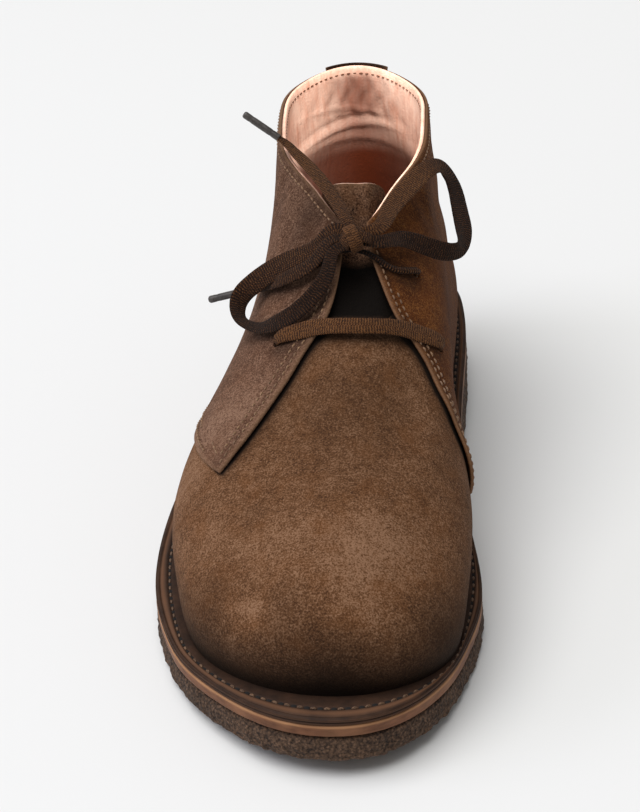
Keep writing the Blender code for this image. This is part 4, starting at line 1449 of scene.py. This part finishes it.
def crossed(ring: Array, cells: int) -> Array:
    """A lid's grid: point k of a ring that starts at the heel joins the point opposite it, and
    the run between them is cut into equal cells.
    """
    half = len(ring) // 2
    one, other = ring[:half + 1], np.concatenate([ring[:1], ring[:half - 1:-1]])
    share = np.linspace(0, 1, cells + 1)[None, :, None]
    return one[:, None] * (1 - share) + other[:, None] * share


def slab(rings: list[Array], cells: int = 16) -> tuple[Array, Faces]:
    """A solid through closed rings of points: bands between them and a lid at each end.

    Args:
        rings: closed loops with the same count of points, an even number.
        cells: cells across each lid.
    Returns:
        Points and faces.
    """
    parts = [(np.concatenate(rings), Faces(grid_quads(len(rings), len(rings[0]), True)))]
    for ring in (rings[0], rings[-1]):
        grid = crossed(ring, cells)
        parts.append((grid.reshape(-1, 3), Faces(grid_quads(*grid.shape[:2]))))
    return join(parts)


@dataclass
class Sole:
    """Crepe outsole and heel, tan midsole, waxed welt with its stitches, and the insole."""

    welt: float = 2.5
    gap: float = 0.3
    midsole: float = 4.0
    breast_y: float = 48.0
    points: int = 1200
    stitch_share: float = 0.40
    set_back: float = 0.75

    def feather(self, turn: Array) -> Array:
        """x and y of the line where the upper meets the welt."""
        return LAST.point(turn, np.zeros_like(turn))[..., :2]

    def side_rings(self, edge: Array, profile: Array, count: int, low_z: Array,
                   high_z: Array) -> list[Array]:
        """Rings up a side wall.

        Args:
            edge: the outline's x and y.
            profile: share of the height, inset in mm and share of the crinkle, going up.
            count: number of rings.
            low_z: height of the foot of the wall.
            high_z: height of its top.
        Returns:
            The rings, crinkled: noise moves each point in and out.
        """
        share, depth, rough = profile.T
        rings = []
        along = unit(np.roll(edge, -1, axis=0) - np.roll(edge, 1, axis=0))
        side = np.stack([along[:, 1], -along[:, 0]], -1)
        side *= np.sign(np.sum(side * (edge - edge.mean(axis=0))))
        for s in np.linspace(0, 1, count):
            flat = edge - side * np.interp(s, share, depth) * MM
            ring = np.column_stack([flat, low_z + (high_z - low_z) * s])
            noise = (0.5 * lattice_noise(ring, 3.4 * MM, 1) + 0.4 * lattice_noise(ring, 1.6 * MM, 2)
                     + 0.2 * lattice_noise(ring, 0.9 * MM, 4))
            ring[:, :2] += side * (noise * np.interp(s, share, rough) * MM)[:, None]
            rings.append(ring)
        return rings

    def dust(self, points: Array) -> Array:
        """Floor dust on the crepe: 0.7 times exp(-height over its underside / 1.2 mm), patchy."""
        height = (points[:, 2] - OUTLINE.floor(points[:, 1])) / MM
        return 0.7 * np.exp(-np.abs(height) / 1.2) * (0.7 + 0.5 * lattice_noise(points, 6 * MM, 14))

    def outsole(self) -> None:
        """The crepe plate: a wall that rounds under at the floor, with a ragged lower edge."""
        edge = OUTLINE.edge(circle(self.points))
        top = OUTLINE.bed(edge[:, 1]) - (self.welt + 2 * self.gap + self.midsole + 0.3) * MM
        low = OUTLINE.floor(edge[:, 1])
        profile = rows("""
            0 1.7 .9, .07 .7 1, .2 .15 .8, .5 0 .55, .85 .5 .4, .94 .8 .25, 1 1.6 .1""")
        rings = self.side_rings(edge, profile, 19, low, top)
        ragged = 0.5 * MM * (lattice_noise(rings[0], 2.6 * MM, 8) + 1)
        rings[0][:, 2] += ragged * 0.6
        points, faces = slab(rings, 20)
        piece = make_piece("outsole_crepe", points, faces, CREPE, {"tone": self.dust(points)},
                           "crepe", 60)
        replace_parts(piece, "outsole")

    def heel(self) -> None:
        """The crepe heel block: the same wall under the rear of the plate, and a straight
        breast.
        """
        half_turn = math.acos(1 - 2 * (OUTLINE.heel_y - self.breast_y) / OUTLINE.length)
        turn = np.linspace(-half_turn, half_turn, 561)
        edge = OUTLINE.edge(turn)
        breast = np.linspace(edge[-1], edge[0], 83)[1:-1]
        start = len(turn) // 2
        loop = np.concatenate([edge[start:], breast, edge[:start]])
        top = OUTLINE.floor(loop[:, 1]) - 0.15 * MM
        profile = rows("""
            0 1.6 .8, .05 .9 1, .14 .35 1, .25 .1 .8, .4 .1 .6, .55 .2 .6, .7 .3 .6, .85 .4 .5,
            .95 .7 .4, 1 1.3 .2""")
        rings = []
        for s, depth, rough in profile:
            flat = inset(loop, depth)
            flat[:, 1] = np.maximum(flat[:, 1], self.breast_y * MM)
            ring = np.column_stack([flat, top * s])
            noise = 0.5 * lattice_noise(ring, 3.4 * MM, 1) + 0.45 * lattice_noise(ring, 1.6 * MM, 2)
            out = unit(flat - inset(loop, depth + 1.0))
            ring[:, :2] += out * (noise * rough * MM)[:, None]
            rings.append(ring)
        points, faces = slab(rings, 20)
        piece = make_piece("heel_crepe", points, faces, CREPE, {"tone": self.dust(points)},
                           "crepe", 60)
        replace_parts(piece, "heel")

    def midsole_board(self) -> None:
        """The tan midsole: a wall with rounded arrises and a paler rub along its top."""
        edge = OUTLINE.edge(circle(720))
        bed = OUTLINE.bed(edge[:, 1])
        top = bed - (self.welt + 0.05) * MM
        low = bed - (self.welt + self.gap + self.midsole) * MM
        profile = rows("0 .9 .1, .06 .5 .1, .2 .35 .12, .8 .3 .12, .92 .45 .1, 1 .95 .1")
        rings = self.side_rings(edge, profile, 13, low, top)
        points, faces = slab(rings, 12)
        rise = (points[:, 2] - OUTLINE.bed(points[:, 1])) / MM + self.welt
        tone = 0.75 * bell((rise + 0.5) / 0.45) + 0.2 * lattice_noise(points, 7 * MM, 6)
        piece = make_piece("midsole_board", points, faces, MIDSOLE_TAN,
                           {"tone": np.clip(tone, 0, 1)}, "midsole_tan")
        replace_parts(piece, "midsole")

    def seam_share(self, edge: Array) -> Array:
        """Where the welt's stitches run: a share of its width, larger round the toe."""
        return self.stitch_share + 0.12 * smooth_step((-edge[:, 1] / MM - 60) / 60)

    def welt_height(self, share: Array, width: Array, seam: Array) -> Array:
        """Height over the bed across the welt's top, in mm: a sewn channel, a ridge outside it,
        and a wheel groove near the edge, each a bell curve of the distance from its line.

        Args:
            share: 0 at the upper and 1 at the edge.
            width: the welt's visible width there, in mm.
            seam: share at which the stitches run.
        Returns:
            The height.
        """
        from_edge = (1 - share) * width
        from_seam = (share - seam) * width
        return (-0.45 * bell(from_seam / 0.75) + 0.18 * bell((from_seam - 1.7) / 0.6)
                - 0.40 * bell((from_edge - 1.75) / 0.32)
                - 0.55 * bell(from_edge / 0.35))

    def welt_ring(self) -> None:
        """The welt: its top from the upper to the edge, its edge of two beads, its underside."""
        turn = circle(1200)
        edge, feather = inset(OUTLINE.edge(turn), self.set_back), self.feather(turn)
        inner = inset(feather, 2.1)
        width = np.linalg.norm(edge - feather, axis=1) / MM
        share = np.r_[0.0, np.linspace(0.06, 0.80, 20),
                      1 - np.array([0.16, 0.13, 0.10, 0.07, 0.045, 0.02, 0.0])]
        flat = feather[None] + (edge - feather)[None] * share[:, None, None]
        bed = OUTLINE.bed(flat[..., 1])
        lift = self.welt_height(share[:, None], width[None], self.seam_share(edge)[None])
        grit = lattice_noise(np.dstack([flat, bed]), 2.2 * MM, 7)
        lift += 0.10 * grit * smooth_step(share * 5)[:, None]
        top = np.dstack([flat, bed + lift * MM])
        out = unit(edge - inset(edge, 1.0))
        sides = []
        for drop, bulge in rows("""
            .45 .25, .8 .4, 1.15 .28, 1.35 -.1, 1.55 .22, 1.9 .42, 2.2 .3, 2.5 -.2"""):
            ring = edge + out * bulge * MM
            sides.append(np.column_stack([ring, OUTLINE.bed(edge[:, 1]) - drop * MM]))
        low, high = (np.column_stack([inner, OUTLINE.bed(inner[:, 1]) - depth * MM])
                     for depth in (self.welt, 0.4))
        rings = [high, *top, *sides, low, high]
        points = np.concatenate(rings)
        faces = Faces(grid_quads(len(rings), len(turn), True))
        drop = (points[:, 2] - OUTLINE.bed(points[:, 1])) / MM
        tone = 0.45 * bell((drop + 0.75) / 0.2) + 0.35 * bell((drop + 1.95) / 0.25)
        tone += 0.15 * lattice_noise(points, 8 * MM, 10)
        strip = np.zeros((len(rings), len(turn)))
        strip[1:len(share) + 1] = (0.75 * bell((share - 0.74) / 0.10))[:, None]
        tone += strip.ravel()
        piece = make_piece("welt_leather", points, faces, WELT_WAX,
                           {"tone": np.clip(tone, 0, 1)}, "welt_brown", 65)
        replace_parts(piece, "welt")

    def welt_stitches(self) -> None:
        """Lockstitches round the welt, each ending in two needle holes, drawn as dark discs of
        painted shade.
        """
        turn = circle(1400)
        edge, feather = inset(OUTLINE.edge(turn), self.set_back), self.feather(turn)
        line = feather + (edge - feather) * self.seam_share(edge)[:, None]
        path = np.column_stack([line, OUTLINE.bed(line[:, 1]) - 0.28 * MM])
        path = np.concatenate([path, path[:1]])
        normals = np.tile([0.0, 0.0, 1.0], (len(path), 1))
        row = StitchRow(pitch=4.2, length=2.1, width=0.85, bow=0.25)
        make_piece("welt_stitches", *row.lay(path, normals), WELT_THREAD, slot="welt_brown")
        placed = walk(path, row.pitch * MM, 0.0)
        along = unit(np.gradient(placed, axis=0))
        across = np.cross([0, 0, 1.0], along)
        frames = np.stack([along * 0.95 * MM, across * 0.85 * MM,
                           np.broadcast_to([0, 0, 0.16 * MM], along.shape)], axis=1)
        holes = scatter(capsule(8, 3), placed + [0, 0, 0.03 * MM], frames)
        make_piece("welt_needle_holes", *holes, HOLE_SHADE, slot="welt_brown")

    def insole_sock(self) -> None:
        """The insole board and its sock leather: a pillow with soft edges."""
        feather = self.feather(circle(360))
        rings = []
        for depth, drop in rows("3.1 -2.5, 3.1 1.6, 3.3 2.4, 4 2.8, 6 3"):
            loop = inset(feather, depth)
            rings.append(np.column_stack([loop, OUTLINE.bed(loop[:, 1]) + drop * MM]))
        points, faces = slab(rings, 40)
        stain = 0.45 + 0.5 * smooth_step((60 - points[:, 1] / MM) / 60)
        stain += 0.25 * lattice_noise(points, 15 * MM, 11)
        piece = make_piece("insole_sock", points, faces, SOCK,
                           {"stain": np.clip(stain, 0, 1)}, "lining")
        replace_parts(piece, "insole")

    def build(self) -> None:
        """Make every layer from the floor up."""
        for make in (self.outsole, self.heel, self.midsole_board, self.welt_ring,
                     self.welt_stitches, self.insole_sock):
            make()


# ---- the lace ----


@dataclass
class Ribbon:
    """A flat lace along a route: its width, thickness and how it turns about its own line, and its
    tone, painted light and shade along it.
    """

    name: str
    route: Array | list
    width: Array | list[tuple[float, float]]
    roll: Array
    thick: float
    tone: Array
    step: float = 0.8
    facing: tuple[float, float, float] | None = None

    def line(self) -> Array:
        """Points along the route, a step apart: a cubic by length through the given points."""
        points = np.asarray(self.route, float) * MM
        length = path_length(points)
        count = max(int(length[-1] / (self.step * MM)), 8) + 1
        return spline(length, points, np.linspace(0, length[-1], count))

    def frames(self, line: Array) -> tuple[Array, Array, Array]:
        """Tangent, broad side's direction and normal at each point: the normal leans away from
        the leg's middle, and roll turns it about the tangent.
        """
        along = unit(np.gradient(line, axis=0))
        if self.facing is None:
            out = line - np.array([0.012, line[:, 1].mean() + 22 * MM, 60 * MM])
        else:
            out = np.broadcast_to(np.array(self.facing, float), line.shape)
        out = unit(out - along * np.sum(out * along, axis=1, keepdims=True))
        side = np.cross(along, out)
        share = np.linspace(0, 1, len(line))
        knots, turns = np.array(self.roll, float).T
        angle = np.radians(np.interp(share, knots, turns))
        kernel = np.ones(9) / 9
        angle = np.convolve(np.pad(angle, 4, mode="edge"), kernel, mode="valid")[:, None]
        return (along, side * np.cos(angle) + out * np.sin(angle),
                out * np.cos(angle) - side * np.sin(angle))

    def build(self) -> bpy.types.Object:
        """Make the lace: a section whose half height falls at its edges as the square root of
        one less the sixth power, carried along the route, closed at both ends.
        """
        line = self.line()
        _, side, out = self.frames(line)
        share = np.linspace(0, 1, len(line))
        knots, widths = np.array(self.width, float).T
        width = spline(knots, widths, share) if len(knots) > 2 else np.interp(share, knots, widths)
        turn = circle(20)
        across, height = blunt(np.cos(turn), 0.45), blunt(np.sin(turn), 0.7)
        height = height * (1 - 0.18 * np.cos(across * 3.0) ** 2)
        thick = self.thick * (1 + 0.5 * np.clip(1 - width / 6.3, 0, 1))
        wide, high = (part[None] * size[:, None] / 2 * MM
                      for part, size in ((across, width), (height, thick)))
        points = line[:, None] + side[:, None] * wide[..., None] + out[:, None] * high[..., None]
        fuzz = 0.05 * MM * lattice_noise(points, 0.9 * MM, 13)
        points = points + fuzz[..., None] * unit(points - line[:, None])
        count, rounds = points.shape[:2]
        length = path_length(line)
        lane = np.stack(np.broadcast_arrays(length[:, None], across[None], 0.0), -1).reshape(-1, 3)
        flat = np.concatenate([points.reshape(-1, 3), line[[0, -1]]])
        lane = np.concatenate([lane, [[0, 0, 0], [length[-1], 0, 0]]])
        knots, tones = self.tone.T
        tone = np.repeat(np.interp(share, knots, tones), rounds)
        marks = {"lane": lane, "tone": np.r_[tone, tones[0], tones[-1]]}
        return make_piece(self.name, flat, tube(count, rounds), BRAID, marks, "lace_brown")


@dataclass
class Lacing:
    """The lace: two bars through the eyelets, the knot, the bow and its ends with their tips."""

    eyelets: Eyelets
    width: float = 6.0
    end_width: float = 4.8
    tip_length: float = 14.5
    tip_round: float = 2.7

    def through(self, route: Array, first: int, last: int) -> list:
        """A bar's route with both ends led into their eyelets: over the hole's rim, then down
        through the leather.
        """
        centres, normals = self.eyelets.axes()
        ends = []
        for number in (first, last):
            hole, out = centres[number] / MM, normals[number]
            ends.append([tuple(hole - out * 4.0), tuple(hole - out * 1.2), tuple(hole + out * 1.7)])
        return ends[0] + list(route[1:-1]) + ends[1][::-1]

    def bars(self) -> None:
        """The lace across the facings, from one punched hole to the other."""
        # The tones are painted light and shade: the lower bar paler, lit as it lies flat; the upper
        # bar dark in the shadow under the knot, lighter towards its medial end.
        lower = Ribbon("lace_lower_bar", self.through(BAR_LOWER, 0, 1),
                       [(0.0, 3.4), (0.06, 3.4), (0.13, 5.2), (0.3, self.width),
                        (0.7, self.width), (0.87, 5.2), (0.94, 3.4), (1.0, 3.4)],
                       rows("0 0, 1 0"), 1.1, rows("0 .3, 1 .3"))
        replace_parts(lower.build(), "lace_bar_lower")
        upper = Ribbon("lace_upper_bar", self.through(BAR_UPPER, 3, 2),
                       rows("0 2.6, .1 2.6, .3 3, .7 3, .9 2.6, 1 2.6"),
                       rows("0 20, .5 60, 1 20"), 1.5,
                       rows("0 -1.3, .58 -1.3, .7 -.4, 1 0"))
        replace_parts(upper.build(), "lace_bar_upper")

    def knot(self) -> bpy.types.Object:
        """The knot: two bands wound round its middle and one across them. A band follows an
        ellipse, cos times one axis plus sin times another, lifted off at its crossing.
        """
        centre = np.array(KNOT_CENTRE)
        out = unit(np.array([-0.05, -0.62, 0.78]))
        right = unit(np.cross(out, [0, 0.78, 0.62])) * -1
        up = np.cross(out, right)
        up *= np.sign(up[2])
        parts, lanes = [], []
        turn = np.linspace(0, 2 * np.pi, 41)[:-1]
        for lean, wide, deep, tall, shift, lift in rows("""
            -24 4.6 3.1 4.4 -.8 .7, 48 4.4 2.4 4 -.8 0, -84 4 2 5 .4 -.2"""):
            angle = math.radians(lean)
            way = up * math.cos(angle) + right * math.sin(angle)
            across = right * math.cos(angle) - up * math.sin(angle)
            ahead, aside = np.cos(turn)[:, None] * out, np.sin(turn)[:, None] * way
            ring = ahead * (deep + lift) + aside * tall
            normal = unit(ahead / deep + aside / tall)
            section = circle(16)
            flat, high = blunt(np.cos(section), 0.6), blunt(np.sin(section), 0.7)
            points = (centre + shift * right + ring[:, None]
                      + across * (flat * wide / 2)[None, :, None]
                      + normal[:, None] * (high * 0.65)[None, :, None])
            quads = grid_quads(len(turn), len(section), True, True)
            parts.append((points.reshape(-1, 3) * MM, Faces(quads)))
            lane = np.broadcast_arrays((turn * 5 * MM)[:, None], flat[None], 0.0)
            lanes.append(np.stack(lane, -1).reshape(-1, 3))
        points, faces = join(parts)
        # The tones are painted light and shade: the first band paler as lit, the last darker in
        # shade.
        marks = {"lane": np.concatenate(lanes),
                 "tone": np.repeat([0.38, 0.0, -0.15], len(points) // 3)}
        piece = make_piece("lace_knot_bands", points, faces, BRAID, marks, "lace_brown")
        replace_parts(piece, "lace_knot")
        return piece

    def tip(self, name: str, ribbon: Ribbon, node: str) -> bpy.types.Object:
        """A plain tip: a tube whose radius swells a little from its pressed mouth to its end,
        with two pressed rings.
        """
        line = ribbon.line()
        ahead = unit(line[-1] - line[-2])
        end = self.tip_length
        reach = np.r_[-1.2, -1.2, np.linspace(-1.0, end - 0.6, 26), end - 0.2, end, end]
        radius = self.tip_round / 2 * (1 - 0.10 * bell((reach - 2.0) / 0.5)
                                       - 0.08 * bell((reach - 11) / 0.5))
        radius = radius * np.where(reach > end - 0.5, 0.85, 1.0)
        radius[[0, -1]] = 1e-4
        radius[-2] *= 0.8
        side = unit(np.cross(ahead, [0.3, 0.1, 1.0]))
        up = np.cross(ahead, side)
        turn = circle(18)
        ring = np.cos(turn)[:, None] * side + np.sin(turn)[:, None] * up
        points = (line[-1] + reach[:, None, None] * MM * ahead
                  + radius[:, None, None] * MM * ring[None])
        piece = make_piece(name, points.reshape(-1, 3), Faces(grid_quads(len(reach), 18, True)),
                           TIP, slot="tip_grey")
        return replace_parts(piece, node)

    def bow(self, knot: bpy.types.Object) -> None:
        """The loops and ends, each made as a flat cord that leaves the knot."""
        w = self.width
        # The tones are painted light and shade: the loops darken where they turn back into shade,
        # the upper end lightens towards its tip, and the lateral end lies in shade.
        loops = [
            Ribbon("lace_lateral_loop", [(9.0, 8.4, 110.4), *LOOP_LATERAL, (8.8, 4.6, 107.4)],
                   [(0, 4.2), (0.1, 6.4), (0.22, w + 2.0), (0.34, w + 2.0), (0.45, w + 0.4),
                    (0.53, 5.4), (0.62, w), (0.8, w), (0.92, 4.8), (1, 3.6)],
                   rows("0 0, .2 -10, .38 5, .48 55, .56 40, .66 10, .85 -10, 1 0"), 1.0,
                   rows("0 -.3, .4 -.4, .55 -.8, 1 -.6"),
                   facing=(-0.15, -0.75, 0.65)),
            Ribbon("lace_medial_loop", [(14.0, 8.0, 110.2), *LOOP_MEDIAL, (14.6, 6.0, 108.4)],
                   [(0, 4.2), (0.1, 6.0), (0.3, w + 1.2), (0.45, w + 0.8), (0.55, w + 0.8),
                    (0.8, w + 0.6), (0.92, 5.2), (1, 3.8)],
                   rows("0 0, .15 5, .35 10, .43 45, .5 30, .6 20, .68 55, .76 20, .9 0, 1 0"), 1.0,
                   rows("0 .05, .3 .2, .38 -.2, .46 -.8, .62 -.7, 1 -.5"),
                   facing=(0.1, -0.8, 0.6)),
        ]
        for ribbon, node in zip(loops, ("lace_loop_lateral", "lace_loop_medial")):
            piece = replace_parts(ribbon.build(), node)
            line = ribbon.line()
        ends = [
            Ribbon("lace_upper_end", [(11.4, 8.2, 110.4), *END_UPPER],
                   rows("0 3, .12 4.2, .3 4.8, .75 4.4, .9 3.2, 1 2.2"),
                   rows("0 0, .5 -15, 1 0"), 1.0, rows("0 -.1, .6 .2, 1 .3")),
            Ribbon("lace_lateral_end", [(8.6, 6.6, 109.2), *END_LATERAL],
                   rows("0 3, .15 4.4, .6 4.8, .85 3.6, 1 2.2"),
                   rows("0 0, .5 10, 1 0"), 1.0, rows("0 -.5, 1 -.3")),
        ]
        for ribbon, node in zip(ends, ("upper", "lateral")):
            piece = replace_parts(ribbon.build(), f"lace_end_{node}")
            tip = self.tip(f"lace_tip_{node}", ribbon, f"tip_{node}")
            line = ribbon.line()

    def build(self) -> None:
        """Make the whole lace."""
        self.bars()
        self.bow(self.knot())


# ---- the studio ----


@dataclass
class Studio:
    """Camera at the photograph's place, pale floor and soft light."""

    eye: tuple[float, float, float] = (69.76, -615.39, 393.08)
    azimuth: float = -6.743
    down: float = 29.259
    roll: float = -3.034
    lens: float = 87.5

    def camera(self) -> None:
        """Look along (sin azimuth cos down, cos azimuth cos down, -sin down), rolled about it."""
        a, d, r = (math.radians(x) for x in (self.azimuth, self.down, self.roll))
        look = np.array([math.sin(a) * math.cos(d), math.cos(a) * math.cos(d), -math.sin(d)])
        right = unit(np.cross(look, [0, 0, 1.0]))
        up = np.cross(right, look)
        right, up = right * math.cos(r) + up * math.sin(r), up * math.cos(r) - right * math.sin(r)
        data = bpy.data.cameras.new("camera")
        data.lens, data.sensor_width, data.clip_start, data.clip_end = self.lens, 36.0, 0.01, 50.0
        thing = hang("camera", data)
        turn = Matrix((right, up, -look)).transposed()
        thing.matrix_world = Matrix.Translation([c * MM for c in self.eye]) @ turn.to_4x4()
        bpy.context.scene.camera = thing

    def floor(self) -> None:
        """A wide pale floor."""
        reach = 6.0
        mesh = bpy.data.meshes.new("floor")
        corners = [(x * reach, y * reach, 0) for x, y in ((-1, -1), (1, -1), (1, 1), (-1, 1))]
        mesh.from_pydata(corners, [], [(0, 1, 2, 3)])
        mesh.materials.append(STUDIO_BOARD.material())
        thing = hang("floor", mesh)

    def light(self, name: str, place: tuple, target: tuple, size: float, power: float,
              colour: str = "#ffffff") -> bpy.types.Object:
        """A square soft light at a place, facing a target; size in metres, power in watts."""
        data = bpy.data.lights.new(name, "AREA")
        data.shape, data.size, data.energy, data.color = "SQUARE", size, power, linear(colour)[:3]
        return self.aim(data, place, target)

    def sun(self, back: tuple, strength: float, spread_deg: float) -> None:
        """An even light from a wide patch of sky: back points from the boot to it."""
        data = bpy.data.lights.new("overhead", "SUN")
        data.energy, data.angle = strength, math.radians(spread_deg)
        self.aim(data, back, (0.0, 0.0, 0.0))

    def lamp_into_shaft(self, linings: list[bpy.types.Object], power: float) -> None:
        """A soft lamp for the shaft, which lights only the linings given."""
        lamp = self.light("shaft_lamp", (0.10, -0.42, 0.95), (0.0, 0.09, 0.10), 0.35, power)
        group = bpy.data.collections.new("linings")
        for piece in linings:
            group.objects.link(piece)
        lamp.light_linking.receiver_collection = group

    def aim(self, data: bpy.types.Light, place: tuple, target: tuple) -> bpy.types.Object:
        """Hang a light at a place and turn it to the target."""
        thing = hang(data.name, data)
        back = unit(np.array(place, float) - np.array(target, float))
        side = unit(np.cross([0.0, 0.001, 1.0], back))
        turn = Matrix((side, np.cross(back, side), back)).transposed()
        thing.matrix_world = Matrix.Translation(place) @ turn.to_4x4()
        return thing

    def build(self) -> None:
        """Set up the camera, the floor, the lights and an even pale surround."""
        self.camera()
        self.floor()
        self.sun((-0.28, -0.12, 1.0), 2.6, 55)
        self.light("left_fill", (-1.4, -0.3, 0.8), (0.0, 0.0, 0.06), 0.8, 6.0, "#ecefff")
        world = bpy.data.worlds.new("surround")
        bpy.context.scene.world = world
        world.use_nodes = True
        world.node_tree.nodes["Background"].inputs[0].default_value = linear("#ffffff")
        world.node_tree.nodes["Background"].inputs[1].default_value = 0.30
        bpy.context.scene.view_settings.view_transform = "Standard"


def main() -> None:
    """Build the boot piece by piece around the frame."""
    logging.basicConfig(level=logging.INFO, format="%(message)s")
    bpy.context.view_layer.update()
    studio = Studio()
    studio.build()
    eyelets = Eyelets()
    Lacing(eyelets).build()
    Sole().build()
    lining = Lining()
    leather = [Vamp().build(), lining.build()]
    lining.sew()
    for side, finish, marks in ((Side.LATERAL, LIT_LATERAL_SUEDE, LATERAL_MARKS),
                                (Side.MEDIAL, SHADED_MEDIAL_SUEDE, MEDIAL_MARKS)):
        quarter = Quarter(side, finish, marks)
        leather.append(quarter.build())
        quarter.sew()
    eyelets.punch(leather)
    studio.lamp_into_shaft([leather[1]], 17.0)
    stay = Backstay()
    stay.build()
    stay.sew()
    Tongue().build()


if __name__ == "__main__":
    main()
